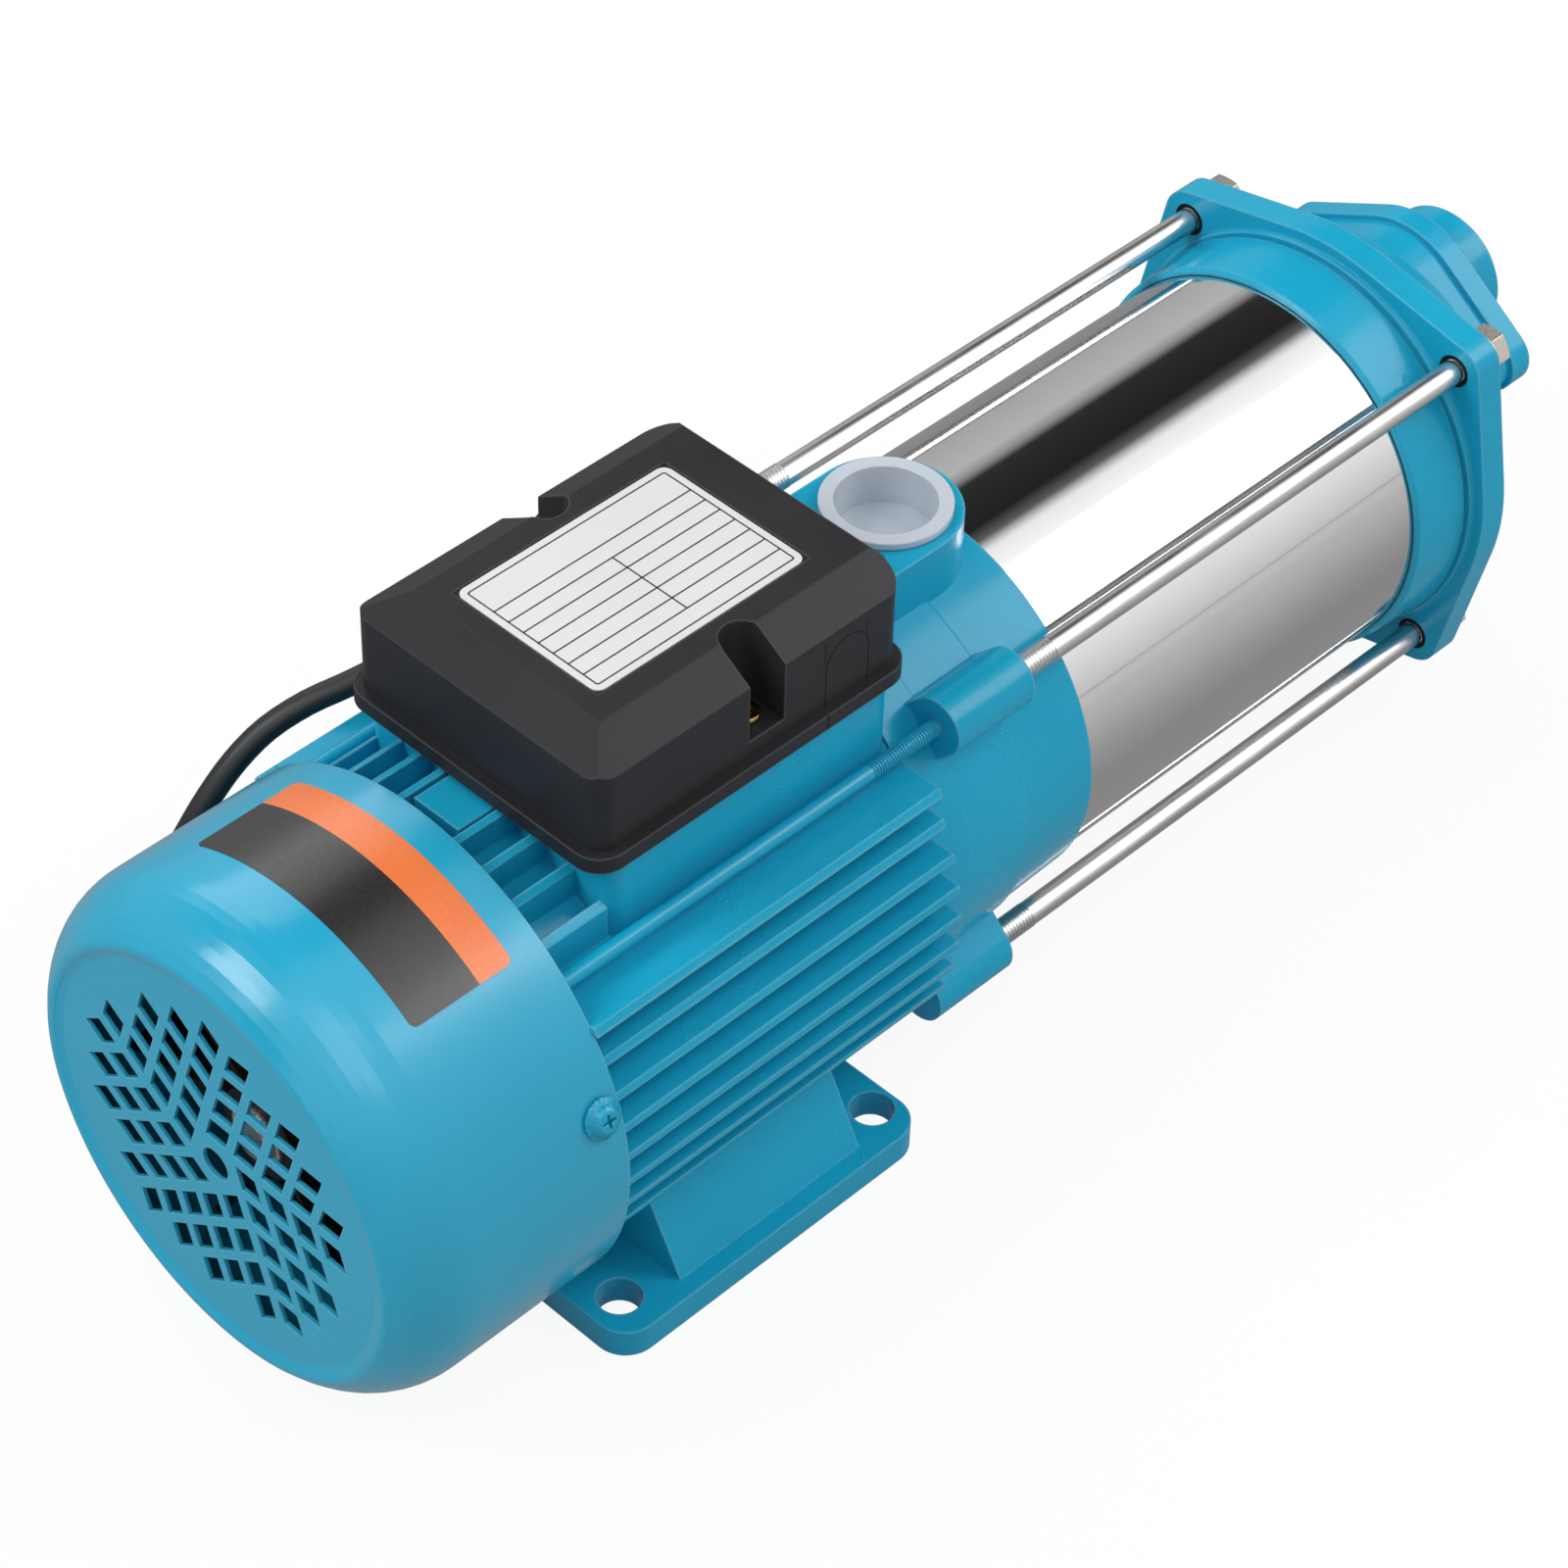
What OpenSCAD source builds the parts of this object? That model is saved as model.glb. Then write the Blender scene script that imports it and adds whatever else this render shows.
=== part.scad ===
// Horizontal multistage centrifugal pump with a foot-mounted electric motor.
// Millimetres. +X runs along the shaft to the suction port, +Z is up.
// The origin is the centre of the foot's bolt pattern, on the floor.

/* [Shaft line] */
// Height of the shaft's axis above the floor
shaft_h = 80; // [78:1:90]
// Radius of the shaft in the motor
shaft_r = 8.5; // [8:0.5:9]
// Radius of the shaft inside the pump
pump_shaft_r = 7; // [6:0.5:7.5]

/* [Motor frame] */
// Rear end of the motor frame along X
frame_x0 = -62; // [-68:1:-58]
// Front end of the motor frame along X
frame_x1 = 67; // [62:1:75]
// Outside radius of the frame's tube
frame_r = 66; // [64:0.5:67]
// Bore radius of the frame
frame_bore_r = 60; // [56:0.5:60.5]
// Radius that the fin tips reach
fin_tip_r = 76.5; // [73:0.5:77]
// Thickness of a cooling fin
fin_t = 2.4; // [1.6:0.2:3]
// Distance between two side fins
fin_pitch = 10.1; // [8:0.1:10.4]
// Number of fins on each side
fin_count = 8; // [6:1:8]

/* [Foot] */
// Distance from a foot hole's centre to the plate's end
foot_end = 9.5; // [8.5:0.25:12]
// Distance from a foot hole's centre to the plate's side
foot_side = 13.5; // [12:0.25:16]
// Height of the foot plate
foot_h = 9.5; // [8:0.5:11]
// Distance between the foot holes along the shaft
foot_hole_x = 100; // [90:1:102]
// Distance between the foot holes across the shaft
foot_hole_y = 125; // [120:1:130]
// Radius of a foot hole
foot_hole_r = 6.5; // [4.5:0.25:7]

/* [Fan cover] */
// Outside radius of the fan cover
cover_r = 79; // [78.5:0.5:79.5]
// Distance from the cover's rim to its face
cover_l = 73.8; // [68:0.2:80]
// Thickness of the cover's sheet
cover_t = 1.3; // [1:0.1:1.6]
// Distance between two holes of the grille
grille_pitch = 11; // [9:0.25:11.5]
// Side length of a hole in the grille
grille_hole = 7.9; // [5:0.1:8.5]

/* [Pump end] */
// Outside radius of the steel barrel
barrel_r = 62.4; // [61:0.1:63]
// Wall thickness of the barrel
barrel_t = 1.5; // [1:0.1:2]
// Length of barrel that shows between the castings
barrel_l = 146.4; // [140:0.4:160]
// Length of the front bracket
bracket_l = 67.9; // [64:0.1:72]
// Radius of the circle that the tie rods stand on
rod_circle_r = 73.6; // [72.5:0.1:75]
// Radius of a pump tie rod
rod_r = 4; // [3:0.25:4.25]
// Radius of a motor tie bolt
bolt_r = 2.5; // [2:0.25:3]
// Length of one pump stage
stage_l = 24; // [21:0.5:24.2]
// Radius of an impeller
impeller_r = 49; // [42:0.5:50]

/* [Ports] */
// Bore radius of both ports
port_bore_r = 16.6; // [14:0.1:17]
// Outside radius of the discharge neck
outlet_r = 22; // [20.5:0.5:23]
// Distance of the discharge port from the bracket's front rim
outlet_back = 22.4; // [22:0.2:24]
// Height of the discharge face above the shaft
outlet_h = 79; // [76:0.5:82]
// Outside radius of the suction boss
inlet_r = 21.5; // [20:0.5:23]
// Height of the suction port above the shaft
inlet_rise = 28; // [20:0.5:30]
// Length of the suction cover ahead of its flange
inlet_l = 55; // [50:0.5:60]

/* [Terminal box] */
// Length of the terminal box's lid
box_l = 111.7; // [105:0.1:118]
// Width of the terminal box's lid
box_w = 93.4; // [90:0.2:96]
// Height of the box from its seat to the top
box_h = 37.4; // [34:0.2:42]
// Height of the box's seat above the shaft
box_seat_h = 75.1; // [74.5:0.1:80]
// Wall thickness of the box
box_wall = 2.4; // [1.8:0.1:3]

/* [Cord] */
// Radius of the power cord
cord_r = 3.7; // [3:0.1:4.2]
// Mean radius of the put-away coil
coil_r = 41; // [38:0.5:46]

/* [Hidden] */
$fn = 48;

// Overrun of a cut, clearances and small sizes shared by several pieces
cut = 1;
edge = 1;
fit_gap = 0.05;
seat_gap = 0.3;
run_gap = 0.6;
blue = [0.16, 0.56, 0.72];
black = [0.13, 0.13, 0.14];
steel = [0.75, 0.76, 0.78];

// Places along the shaft
bracket_x0 = frame_x1 + seat_gap;
bracket_x1 = bracket_x0 + bracket_l - seat_gap;
barrel_x0 = bracket_x1;
barrel_x1 = barrel_x0 + barrel_l;
collar_l = 23.2;
flange_x0 = barrel_x1 + collar_l;
flange_t = 10;
flange_x1 = flange_x0 + flange_t;
inlet_x1 = flange_x1 + inlet_l;
rod_angles = [45:90:315];
rod_places = [for (a = rod_angles) rod_circle_r * [cos(a), sin(a)]];

// Motor frame and foot
fin_top = 45;
fin_long_r = 80;
foot_x = -1.5;
foot_l = foot_hole_x + 2 * foot_end;
foot_w = foot_hole_y + 2 * foot_side;
foot_skin = 4;
foot_rim = 6;
foot_corner_r = 10;
foot_boss_r = 11;
leg_x0 = -34;
leg_x1 = 37;
leg_foot_y = foot_w / 2 - foot_rim;
leg_inset = 9;
leg_top_y = frame_r - leg_inset;
leg_waist_h = 33;
leg_wall = 4;
leg_inner_y = 40;
ped_x0 = -38.7;
ped_w = 94;
ped_wall = 6;
ped_corner_r = 6;
ped_floor_h = 69;
window_l = 34;
window_w = 30;
top_fin_r = 74;
top_fin_pitch = 11;
lug_w = 17;
lug_l = 17;
lug_top_h = 73;

// Rear shield
shield_t = 5;
shield_rim_l = 12;
shield_rim_t = 5;
shield_r = cover_r - cover_t - seat_gap;
spigot_l = 4;
spigot_t = 3;
hub_wall = 5;
rib_t = 4;
rib_h = 9;
rib_count = 4;
wave_t = 1;

// Bearings: deep groove, 17 mm bore, 40 mm outside, 12 mm wide
bearing_r = 20;
bearing_w = 12;
race_t = 3.6;
ball_r = 3.6;
ball_count = 8;
ball_circle_r = (bearing_r + shaft_r) / 2;
ball_gap = 0.25;
rear_bearing_x = frame_x0 - shield_t - bearing_w;
bearing_inset = 4;
bearing_lip = 2;
front_bearing_x = bracket_x0 + bearing_inset;

// Stator and rotor
stack_x0 = -44;
stack_x1 = 44;
stator_in_r = 33;
air_gap = 0.4;
slot_count = 24;
slot_w = 4.2;
slot_in_r = 35.5;
slot_out_r = 49;
coil_gap = 0.3;
head_l = 13;
head_in_r = 36;
head_out_r = 54;
cage_l = 8;
cage_in_r = 18;
rotor_r = stator_in_r - air_gap;
shaft_step = 2;
rotor_shaft_r = shaft_r + shaft_step;

// Fan
fan_reach = 42;
fan_x0 = rear_bearing_x - fan_reach;
fan_l = 26;
fan_seat_r = shaft_r - edge;
shaft_end = 3;
clip_t = 1;
fan_r = 62;
fan_hub_r = 14;
fan_disc_t = 2;
fan_blade_t = 2;
fan_blades = 7;

// Bracket, seal and wet chamber
bracket_wall = 5;
ring_l = 15;
ring_r = 67;
waist_r = 65.8;
step_r = 64.5;
mouth_r = 63.8;
web_x0 = front_bearing_x + bearing_w;
web_t = 7;
wet_corner = 10;
boss_r = 9;
boss_back = 25.4;
boss_l = 30.5;
step_back = 27.3;
boss_x1 = bracket_x1 - boss_back;
boss_x0 = boss_x1 - boss_l;
rod_depth = 15;
bolt_depth = 12;
neck_back = 30;
seal_x0 = web_x0 + web_t;
seat_r = 13;
seat_w = 6;
head_w = 16;
head_step = 3;
lap = 8;
seal_w = 1.2;

// Stages
stage_count = 6;
stage_lead = 2.2;
stage_x0 = barrel_x0 + stage_lead;
stage_r = barrel_r - barrel_t - seat_gap;
stage_shell_t = 2;
plate_t = 2;
vane_gap = 7;
wheel_gap = 1;
ring_reach = 3;
impeller_wall = 1.6;
impeller_h = 9.6;
eye_r = 17;
eye_t = 1.6;
hub_r = 11;
disc_r = 50.5;
vane_t = 1.8;
impeller_vanes = 6;
guide_vanes = 8;

// Suction cover
collar_r0 = 63.6;
collar_r1 = 66;
flange_mid_r = 71;
flange_ear_r = 9.5;
groove_w = 1.6;
groove_deep = 1;
dome_r0 = 60;
dome_l = 27.5;
cover_wall = 4;
oval_reach = 31;
oval_x0 = flange_x1 + oval_reach;
oval_t = 8;
oval_mid_r = 29;
oval_lobe_r = 10;
oval_lobe_y = 37;
pad_in = 1.6;
oval_turn = 4.5;

// Fasteners
nut_h = 6.5;
nut_r = 7.5;
washer_t = 1.6;
washer_r = 8;
rod_spare = 3;
head_h = 3.6;
bolt_head_r = 3.7;
pan_r = 6;
pan_t = 1;
pan_head_r = 4.2;
pan_head_h = 2.4;
screw_r = 2;
screw_l = 8;
screw_head_h = 2;
lid_screw_head_r = 4;
base_screw_head_r = 3;

// Terminal box
box_x0 = -42.2;
box_x1 = box_x0 + box_l;
rim_out = 2.7;
rim_h = 5;
tray_t = 3;
lid_wall_h = 30;
lid_chamfer = 11.6;
lid_corner_r = 6;
slot_x = 18.2;
slot_r = 6.5;
slot_deep = 16;
slot_floor_h = 10.9;
lid_edge = 2;
label_x0 = -24;
label_l = 77;
label_w = 54.5;
label_deep = 0.6;
gasket_t = 1.5;

// Cord
grommet_x = 46;
grommet_h = 9.6;
grommet_r = 5.4;
grommet_lip = 1;
grommet_lip_t = 3;
grommet_seat = 3;
elbow_out = 8.8;
elbow_r = 5.8;
relief_l = 26;
relief_r = 4.6;
relief_lean = 30;
relief_swing = 8;

// Drain plug
drain_r = 6;
drain_l = 9;
drain_head_r = 8;
drain_head_h = 4;
drain_seal_t = 1.5;
drain_boss_r = 10;
drain_boss_h = shaft_h - waist_r - edge;

// Builds children, drawn in the Y-Z plane about the shaft, from x0 to x1
module slab_x(x0, x1) {
    translate([x0, 0, shaft_h])
        rotate([90, 0, 90])
            linear_extrude(x1 - x0)
                children();
}

// Turns an outline of [radius, x] points about the shaft
module turned(points, fine = 96) {
    translate([0, 0, shaft_h])
        rotate([0, 90, 0])
            rotate_extrude($fn = fine)
                polygon(points);
}

// Cylinder along X at a place in the Y-Z plane, measured from the shaft
module rod_x(x0, x1, r, at = [0, 0]) {
    translate([x0, at[0], shaft_h + at[1]])
        rotate([0, 90, 0])
            cylinder(h = x1 - x0, r = r);
}

// Tube along X on the shaft's axis
module tube_x(x0, x1, r_out, r_in) {
    turned([[r_in, x0], [r_out, x0], [r_out, x1], [r_in, x1]]);
}

// Hexagonal prism along X
module hex_x(x0, x1, r, at = [0, 0]) {
    translate([x0, at[0], shaft_h + at[1]])
        rotate([0, 90, 0])
            cylinder(h = x1 - x0, r = r, $fn = 6);
}

// Points on an arc
function arc(c, r, a0, a1, n) = [for (i = [0:n]) c + r * [cos(a0 + (a1 - a0) * i / n),
    sin(a0 + (a1 - a0) * i / n)]];

// Outline of a rectangle with rounded corners, drawn with circles
module rounded(x0, x1, y0, y1, r) {
    translate([x0 + r, y0])
        square([x1 - x0 - 2 * r, y1 - y0]);
    translate([x0, y0 + r])
        square([x1 - x0, y1 - y0 - 2 * r]);
    for (x = [x0 + r, x1 - r], y = [y0 + r, y1 - r])
        translate([x, y])
            circle(r);
}

// Belt of straight flanks round two circles of radius a and b, b at a distance along +X
module belt(a, b, gap) {
    lean = acos((a - b) / gap);
    circle(a);
    translate([gap, 0])
        circle(b);
    polygon([a * [cos(lean), sin(lean)], [gap, 0] + b * [cos(lean), sin(lean)],
        [gap, 0] + b * [cos(lean), -sin(lean)], a * [cos(lean), -sin(lean)]]);
}

// Motor frame: finned tube, top fins and the seat of the terminal box
module fin_profile() {
    circle(frame_r, $fn = 128);
    intersection() {
        circle(fin_tip_r, $fn = 128);
        for (i = [1:fin_count - 1])
            translate([-fin_tip_r, fin_top - i * fin_pitch - fin_t / 2])
                square([2 * fin_tip_r, fin_t]);
    }
    intersection() {
        circle(fin_long_r, $fn = 128);
        translate([-fin_long_r, fin_top - fin_t / 2])
            square([2 * fin_long_r, fin_t]);
    }
}

module leg_profile() {
    for (side = [-1, 1])
        scale([side, 1])
            polygon([[leg_inner_y, foot_h - shaft_h - cut], [leg_foot_y, foot_h - shaft_h - cut],
                [leg_foot_y, foot_h - shaft_h], [leg_top_y, leg_waist_h - shaft_h],
                [leg_top_y, fin_top - (fin_count - 1) * fin_pitch], [leg_inner_y, 0]]);
}

module leg_hollow() {
    for (side = [-1, 1])
        scale([side, 1])
            polygon([[leg_inner_y + leg_wall, -shaft_h - cut],
                [leg_foot_y - leg_wall, -shaft_h - cut],
                [leg_foot_y - leg_wall, foot_h - shaft_h],
                [leg_top_y - leg_wall, leg_waist_h - shaft_h],
                [leg_inner_y + leg_wall, leg_waist_h - shaft_h]]);
}

module foot_plate() {
    x0 = foot_x - foot_l / 2;
    x1 = foot_x + foot_l / 2;
    difference() {
        linear_extrude(foot_h)
            rounded(x0, x1, -foot_w / 2, foot_w / 2, foot_corner_r);
        difference() {
            translate([0, 0, -cut])
                linear_extrude(foot_h - foot_skin + cut)
                    rounded(x0 + foot_rim, x1 - foot_rim, foot_rim - foot_w / 2,
                        foot_w / 2 - foot_rim, foot_corner_r - foot_rim);
            for (x = [-1, 1] * foot_hole_x / 2, y = [-1, 1] * foot_hole_y / 2)
                translate([x, y, -2 * cut])
                    cylinder(h = foot_h + 2 * cut, r = foot_boss_r);
        }
    }
}

module pedestal() {
    translate([0, 0, shaft_h])
        linear_extrude(box_seat_h - gasket_t)
            rounded(ped_x0, frame_x1, -ped_w / 2, ped_w / 2, ped_corner_r);
}

module top_fins() {
    slab_x(frame_x0, ped_x0 + cut)
        intersection() {
            circle(top_fin_r, $fn = 128);
            for (i = [1:4], side = [-1, 1])
                translate([side * i * top_fin_pitch - fin_t / 2, 0])
                    square([fin_t, top_fin_r]);
        }
    translate([ped_x0 - lug_l, -lug_w / 2, shaft_h])
        cube([lug_l + cut, lug_w, lug_top_h]);
}

module motor_frame() {
    color(blue)
        difference() {
            union() {
                slab_x(frame_x0, frame_x1)
                    fin_profile();
                pedestal();
                top_fins();
            }
            rod_x(frame_x0 - cut, frame_x1 + cut, frame_bore_r, $fn = 128);
            for (at = rod_places)
                rod_x(frame_x0 - cut, frame_x1 + cut, bolt_r + run_gap, at);
            translate([0, 0, shaft_h + ped_floor_h])
                linear_extrude(box_seat_h)
                    rounded(ped_x0 + ped_wall, frame_x1 - ped_wall, ped_wall - ped_w / 2,
                        ped_w / 2 - ped_wall, ped_corner_r / 2);
            translate([-window_l / 2, -window_w / 2, shaft_h])
                cube([window_l, window_w, ped_floor_h + cut]);
            for (at = box_screw_places)
                translate([at[0], at[1], shaft_h + box_seat_h - screw_l])
                    cylinder(h = screw_l + cut, r = screw_r + fit_gap);
        }
}

// Motor foot: plate on the floor and two hollow legs that cradle the frame
module motor_foot() {
    color(blue)
        difference() {
            union() {
                slab_x(leg_x0, leg_x1)
                    difference() {
                        leg_profile();
                        circle(frame_r + fit_gap, $fn = 128);
                    }
                foot_plate();
            }
            slab_x(leg_x0 + leg_wall, leg_x1 - leg_wall)
                leg_hollow();
            for (at = rod_places)
                rod_x(leg_x0 - cut, leg_x1 + cut, bolt_r + run_gap, at);
            for (x = [-1, 1] * foot_hole_x / 2, y = [-1, 1] * foot_hole_y / 2)
                translate([x, y, -cut])
                    cylinder(h = foot_h + 2 * cut, r = foot_hole_r);
        }
}

// Rear shield: ribbed plate with the rear bearing's housing and a rim for the fan cover
rear_hub_r = bearing_r + hub_wall;
shield_x0 = frame_x0 - shield_t;
shield_x1 = frame_x0 - seat_gap;
rear_hub_x0 = rear_bearing_x - wave_t - hub_wall;
module rear_shield() {
    color(blue)
        difference() {
            union() {
                rod_x(shield_x0, shield_x1, shield_r);
                tube_x(shield_x0, frame_x0 + spigot_l, frame_bore_r - fit_gap,
                    frame_bore_r - spigot_t);
                tube_x(shield_x0 - shield_rim_l, shield_x1, shield_r, shield_r - shield_rim_t);
                rod_x(rear_hub_x0, shield_x1, rear_hub_r);
                for (i = [0:rib_count - 1])
                    translate([shield_x0 - rib_h, 0, shaft_h])
                        rotate([i * 360 / rib_count, 0, 0])
                            translate([0, -rib_t / 2, bearing_r + cut])
                                cube([rib_h + cut, rib_t, shield_r - shield_rim_t - bearing_r]);
            }
            rod_x(rear_bearing_x - wave_t, frame_x0, bearing_r + fit_gap);
            rod_x(rear_hub_x0 - cut, frame_x0, shaft_r + run_gap);
            for (at = rod_places) {
                rod_x(shield_x0 - cut, frame_x0, bolt_r + fit_gap, at);
                rod_x(shield_x0 - shield_rim_l - cut, shield_x0, bolt_head_r + run_gap, at);
            }
            for (a = cover_screw_angles)
                translate([frame_x0 - cover_screw_in, 0, shaft_h])
                    rotate([90 - a, 0, 0])
                        translate([0, 0, cover_r - screw_l - cut])
                            cylinder(h = screw_l + cut, r = screw_r + fit_gap);
        }
}

// Fan cover: spun sheet with a five-way grille of leaning holes
face_x = frame_x0 - cover_l;
shoulder_r = 27;
crest_r = 3;
crest_turn = 55;
crest_end = 130;
face_r = 62;
cover_screw_in = 6.5;
cover_screw_angles = [18.6, 161.4];
shoulder_in = 21.3;
shoulder_c = [cover_r - shoulder_r, face_x + shoulder_in];
crest_c = shoulder_c + (shoulder_r - crest_r) * [cos(crest_turn), -sin(crest_turn)];
grille_rows = [5, 4, 3, 1];
grille_shift = [2, 13.3];
grille_bore_r = 5;

module grille_holes() {
    lean = 72;
    side = grille_hole / 2;
    along = [1, 0];
    up = [cos(lean), sin(lean)];
    for (turn = [0:4])
        rotate(turn * lean)
            for (row = [0:len(grille_rows) - 1], i = [0:grille_rows[row] - 1])
                translate(grille_shift + grille_pitch * (i * along + row * up))
                    polygon([-side * along - side * up, side * along - side * up,
                        side * along + side * up, side * up - side * along]);
    circle(grille_bore_r);
}

module fan_cover() {
    outer = concat([[cover_r, frame_x0]], arc(shoulder_c, shoulder_r, 0, -crest_turn, 8),
        arc(crest_c, crest_r, -crest_turn, -crest_end, 4), [[face_r, face_x]]);
    inner = concat([[cover_r - cover_t, frame_x0]],
        arc(shoulder_c, shoulder_r - cover_t, 0, -crest_turn, 8),
        arc(crest_c, crest_r - cover_t, -crest_turn, -crest_end, 4),
        [[face_r, face_x + cover_t]]);
    color(blue)
        difference() {
            turned(concat(outer, [[0, face_x], [0, face_x + cover_t]],
                [for (i = [len(inner) - 1:-1:0]) inner[i]]), 128);
            slab_x(face_x - cut, face_x + cover_t + cut)
                rotate([0, 180, 0])
                    grille_holes();
            for (a = cover_screw_angles)
                translate([frame_x0 - cover_screw_in, 0, shaft_h])
                    rotate([90 - a, 0, 0])
                        translate([0, 0, cover_r - 2 * cover_t])
                            cylinder(h = 4 * cover_t, r = screw_r + fit_gap);
        }
}

module fan_cover_screws() {
    color(blue)
        for (a = cover_screw_angles)
            translate([frame_x0 - cover_screw_in, 0, shaft_h])
                rotate([90 - a, 0, 0]) {
                    translate([0, 0, cover_r - screw_l])
                        cylinder(h = screw_l + pan_t, r = screw_r);
                    translate([0, 0, cover_r + fit_gap])
                        rotate_extrude()
                            polygon([[0, 0], [pan_r, 0], [pan_r, pan_t], [pan_head_r, pan_t],
                                [pan_head_r, pan_t + pan_head_h / 2],
                                [pan_head_r - pan_head_h / 2, pan_t + pan_head_h],
                                [0, pan_t + pan_head_h]]);
                }
}

module motor_tie_bolts() {
    color(blue)
        for (at = rod_places) {
            rod_x(shield_x0 - head_h / 2, boss_x0 + bolt_depth, bolt_r, at);
            rod_x(shield_x0 - head_h, shield_x0, bolt_head_r, at);
        }
}

// Stator: slotted stack and its winding
module slots(gap) {
    for (i = [0:slot_count - 1])
        rotate(i * 360 / slot_count)
            translate([slot_in_r + gap, gap - slot_w / 2])
                square([slot_out_r - slot_in_r - 2 * gap, slot_w - 2 * gap]);
}

module stator_core() {
    color([0.35, 0.36, 0.38])
        slab_x(stack_x0, stack_x1)
            difference() {
                circle(frame_bore_r - fit_gap, $fn = 128);
                circle(stator_in_r, $fn = 128);
                slots(0);
                for (i = [0:slot_count - 1])
                    rotate(i * 360 / slot_count)
                        translate([stator_in_r - cut, -fin_t / 2])
                            square([slot_in_r - stator_in_r + 2 * cut, fin_t]);
            }
}

module stator_winding() {
    color([0.72, 0.42, 0.18]) {
        slab_x(stack_x0 - coil_gap - cut, stack_x1 + coil_gap + cut)
            slots(coil_gap);
        for (side = [0, 1])
            mirror([side, 0, 0])
                tube_x(stack_x1 + coil_gap, stack_x1 + coil_gap + head_l, head_out_r, head_in_r);
    }
}

// Front bracket: front bearing, shaft seal, wet chamber and discharge port
outlet_x = bracket_x1 - outlet_back;
throat_r = outlet_back - lap - seal_w - edge;
step_x = bracket_x1 - step_back;
spigot_x0 = bracket_x0 - spigot_l;
module bracket_shell() {
    turned([[0, spigot_x0], [frame_bore_r - fit_gap, spigot_x0],
        [frame_bore_r - fit_gap, bracket_x0], [ring_r, bracket_x0], [ring_r, bracket_x0 + ring_l],
        [waist_r, bracket_x0 + ring_l + edge], [waist_r - edge / 2, step_x - edge],
        [step_r, step_x], [mouth_r, bracket_x1], [0, bracket_x1]], 128);
}

module outlet_neck() {
    translate([outlet_x, 0, shaft_h])
        linear_extrude(outlet_h) {
            circle(outlet_r, $fn = 96);
            translate([-neck_back, -outlet_r])
                square([neck_back, 2 * outlet_r]);
        }
}

module boss_profile() {
    for (a = rod_angles)
        rotate(a) {
            translate([rod_circle_r, 0])
                circle(boss_r);
            translate([rod_circle_r / 2, -boss_r])
                square([rod_circle_r / 2, 2 * boss_r]);
        }
}

module pump_bracket() {
    dry_r = frame_bore_r - spigot_t;
    hub_in = bearing_r + hub_wall;
    wet_r = mouth_r - bracket_wall;
    socket_x0 = bracket_x1 - lap - seal_w;
    color(blue)
        difference() {
            union() {
                bracket_shell();
                outlet_neck();
                slab_x(boss_x0, boss_x1)
                    boss_profile();
                translate([outlet_x, 0, drain_boss_h])
                    cylinder(h = shaft_h - drain_boss_h, r = drain_boss_r);
            }
            // Dry side, round the bearing hub
            turned([[0, spigot_x0 - cut], [dry_r, spigot_x0 - cut], [dry_r, bracket_x0],
                [dry_r - spigot_l, web_x0], [hub_in, web_x0],
                [hub_in, front_bearing_x - bearing_lip], [0, front_bearing_x - bearing_lip]], 96);
            rod_x(front_bearing_x - bearing_lip - cut, web_x0, bearing_r + fit_gap);
            rod_x(web_x0 - cut, seal_x0 + cut, shaft_r + run_gap);
            rod_x(seal_x0 - seat_w, seal_x0 + cut, seat_r + fit_gap);
            // Wet chamber and the barrel's socket
            turned([[0, seal_x0], [wet_r - wet_corner, seal_x0], [wet_r, seal_x0 + wet_corner],
                [wet_r, socket_x0], [0, socket_x0]], 96);
            rod_x(socket_x0, bracket_x1 + cut, barrel_r + fit_gap, $fn = 128);
            // Discharge: threaded mouth over a narrower throat
            translate([outlet_x, 0, shaft_h + bearing_r])
                cylinder(h = outlet_h, r = throat_r, $fn = 64);
            translate([outlet_x, 0, shaft_h + step_r])
                cylinder(h = outlet_h, r = port_bore_r, $fn = 64);
            for (at = rod_places) {
                rod_x(boss_x1 - rod_depth, boss_x1 + cut, rod_r + fit_gap, at);
                rod_x(boss_x0 - cut, boss_x0 + bolt_depth + fit_gap, bolt_r + fit_gap, at);
            }
            // Drain hole below
            translate([outlet_x, 0, drain_boss_h - cut])
                cylinder(h = shaft_h / 2, r = drain_r + fit_gap);
        }
}

module barrel_sleeve() {
    color(steel)
        turned([[barrel_r - barrel_t, barrel_x0 - lap], [barrel_r, barrel_x0 - lap],
            [barrel_r, barrel_x1 + lap], [barrel_r - barrel_t, barrel_x1 + lap]], 128);
}

module barrel_seals() {
    color(black)
        for (x = [barrel_x0 - lap - seal_w, barrel_x1 + lap])
            tube_x(x, x + seal_w, barrel_r - fit_gap, barrel_r - barrel_t);
}

// Suction cover: collar, eared flange and dome with the seat of the suction port
module flange_profile() {
    for (a = rod_angles)
        rotate(a)
            belt(flange_mid_r, flange_ear_r, rod_circle_r);
}

module oval_profile(inset) {
    translate([0, inlet_rise])
        for (turn = [0, 180])
            rotate(turn + oval_turn)
                belt(oval_mid_r - inset, oval_lobe_r - inset, oval_lobe_y);
}

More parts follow.
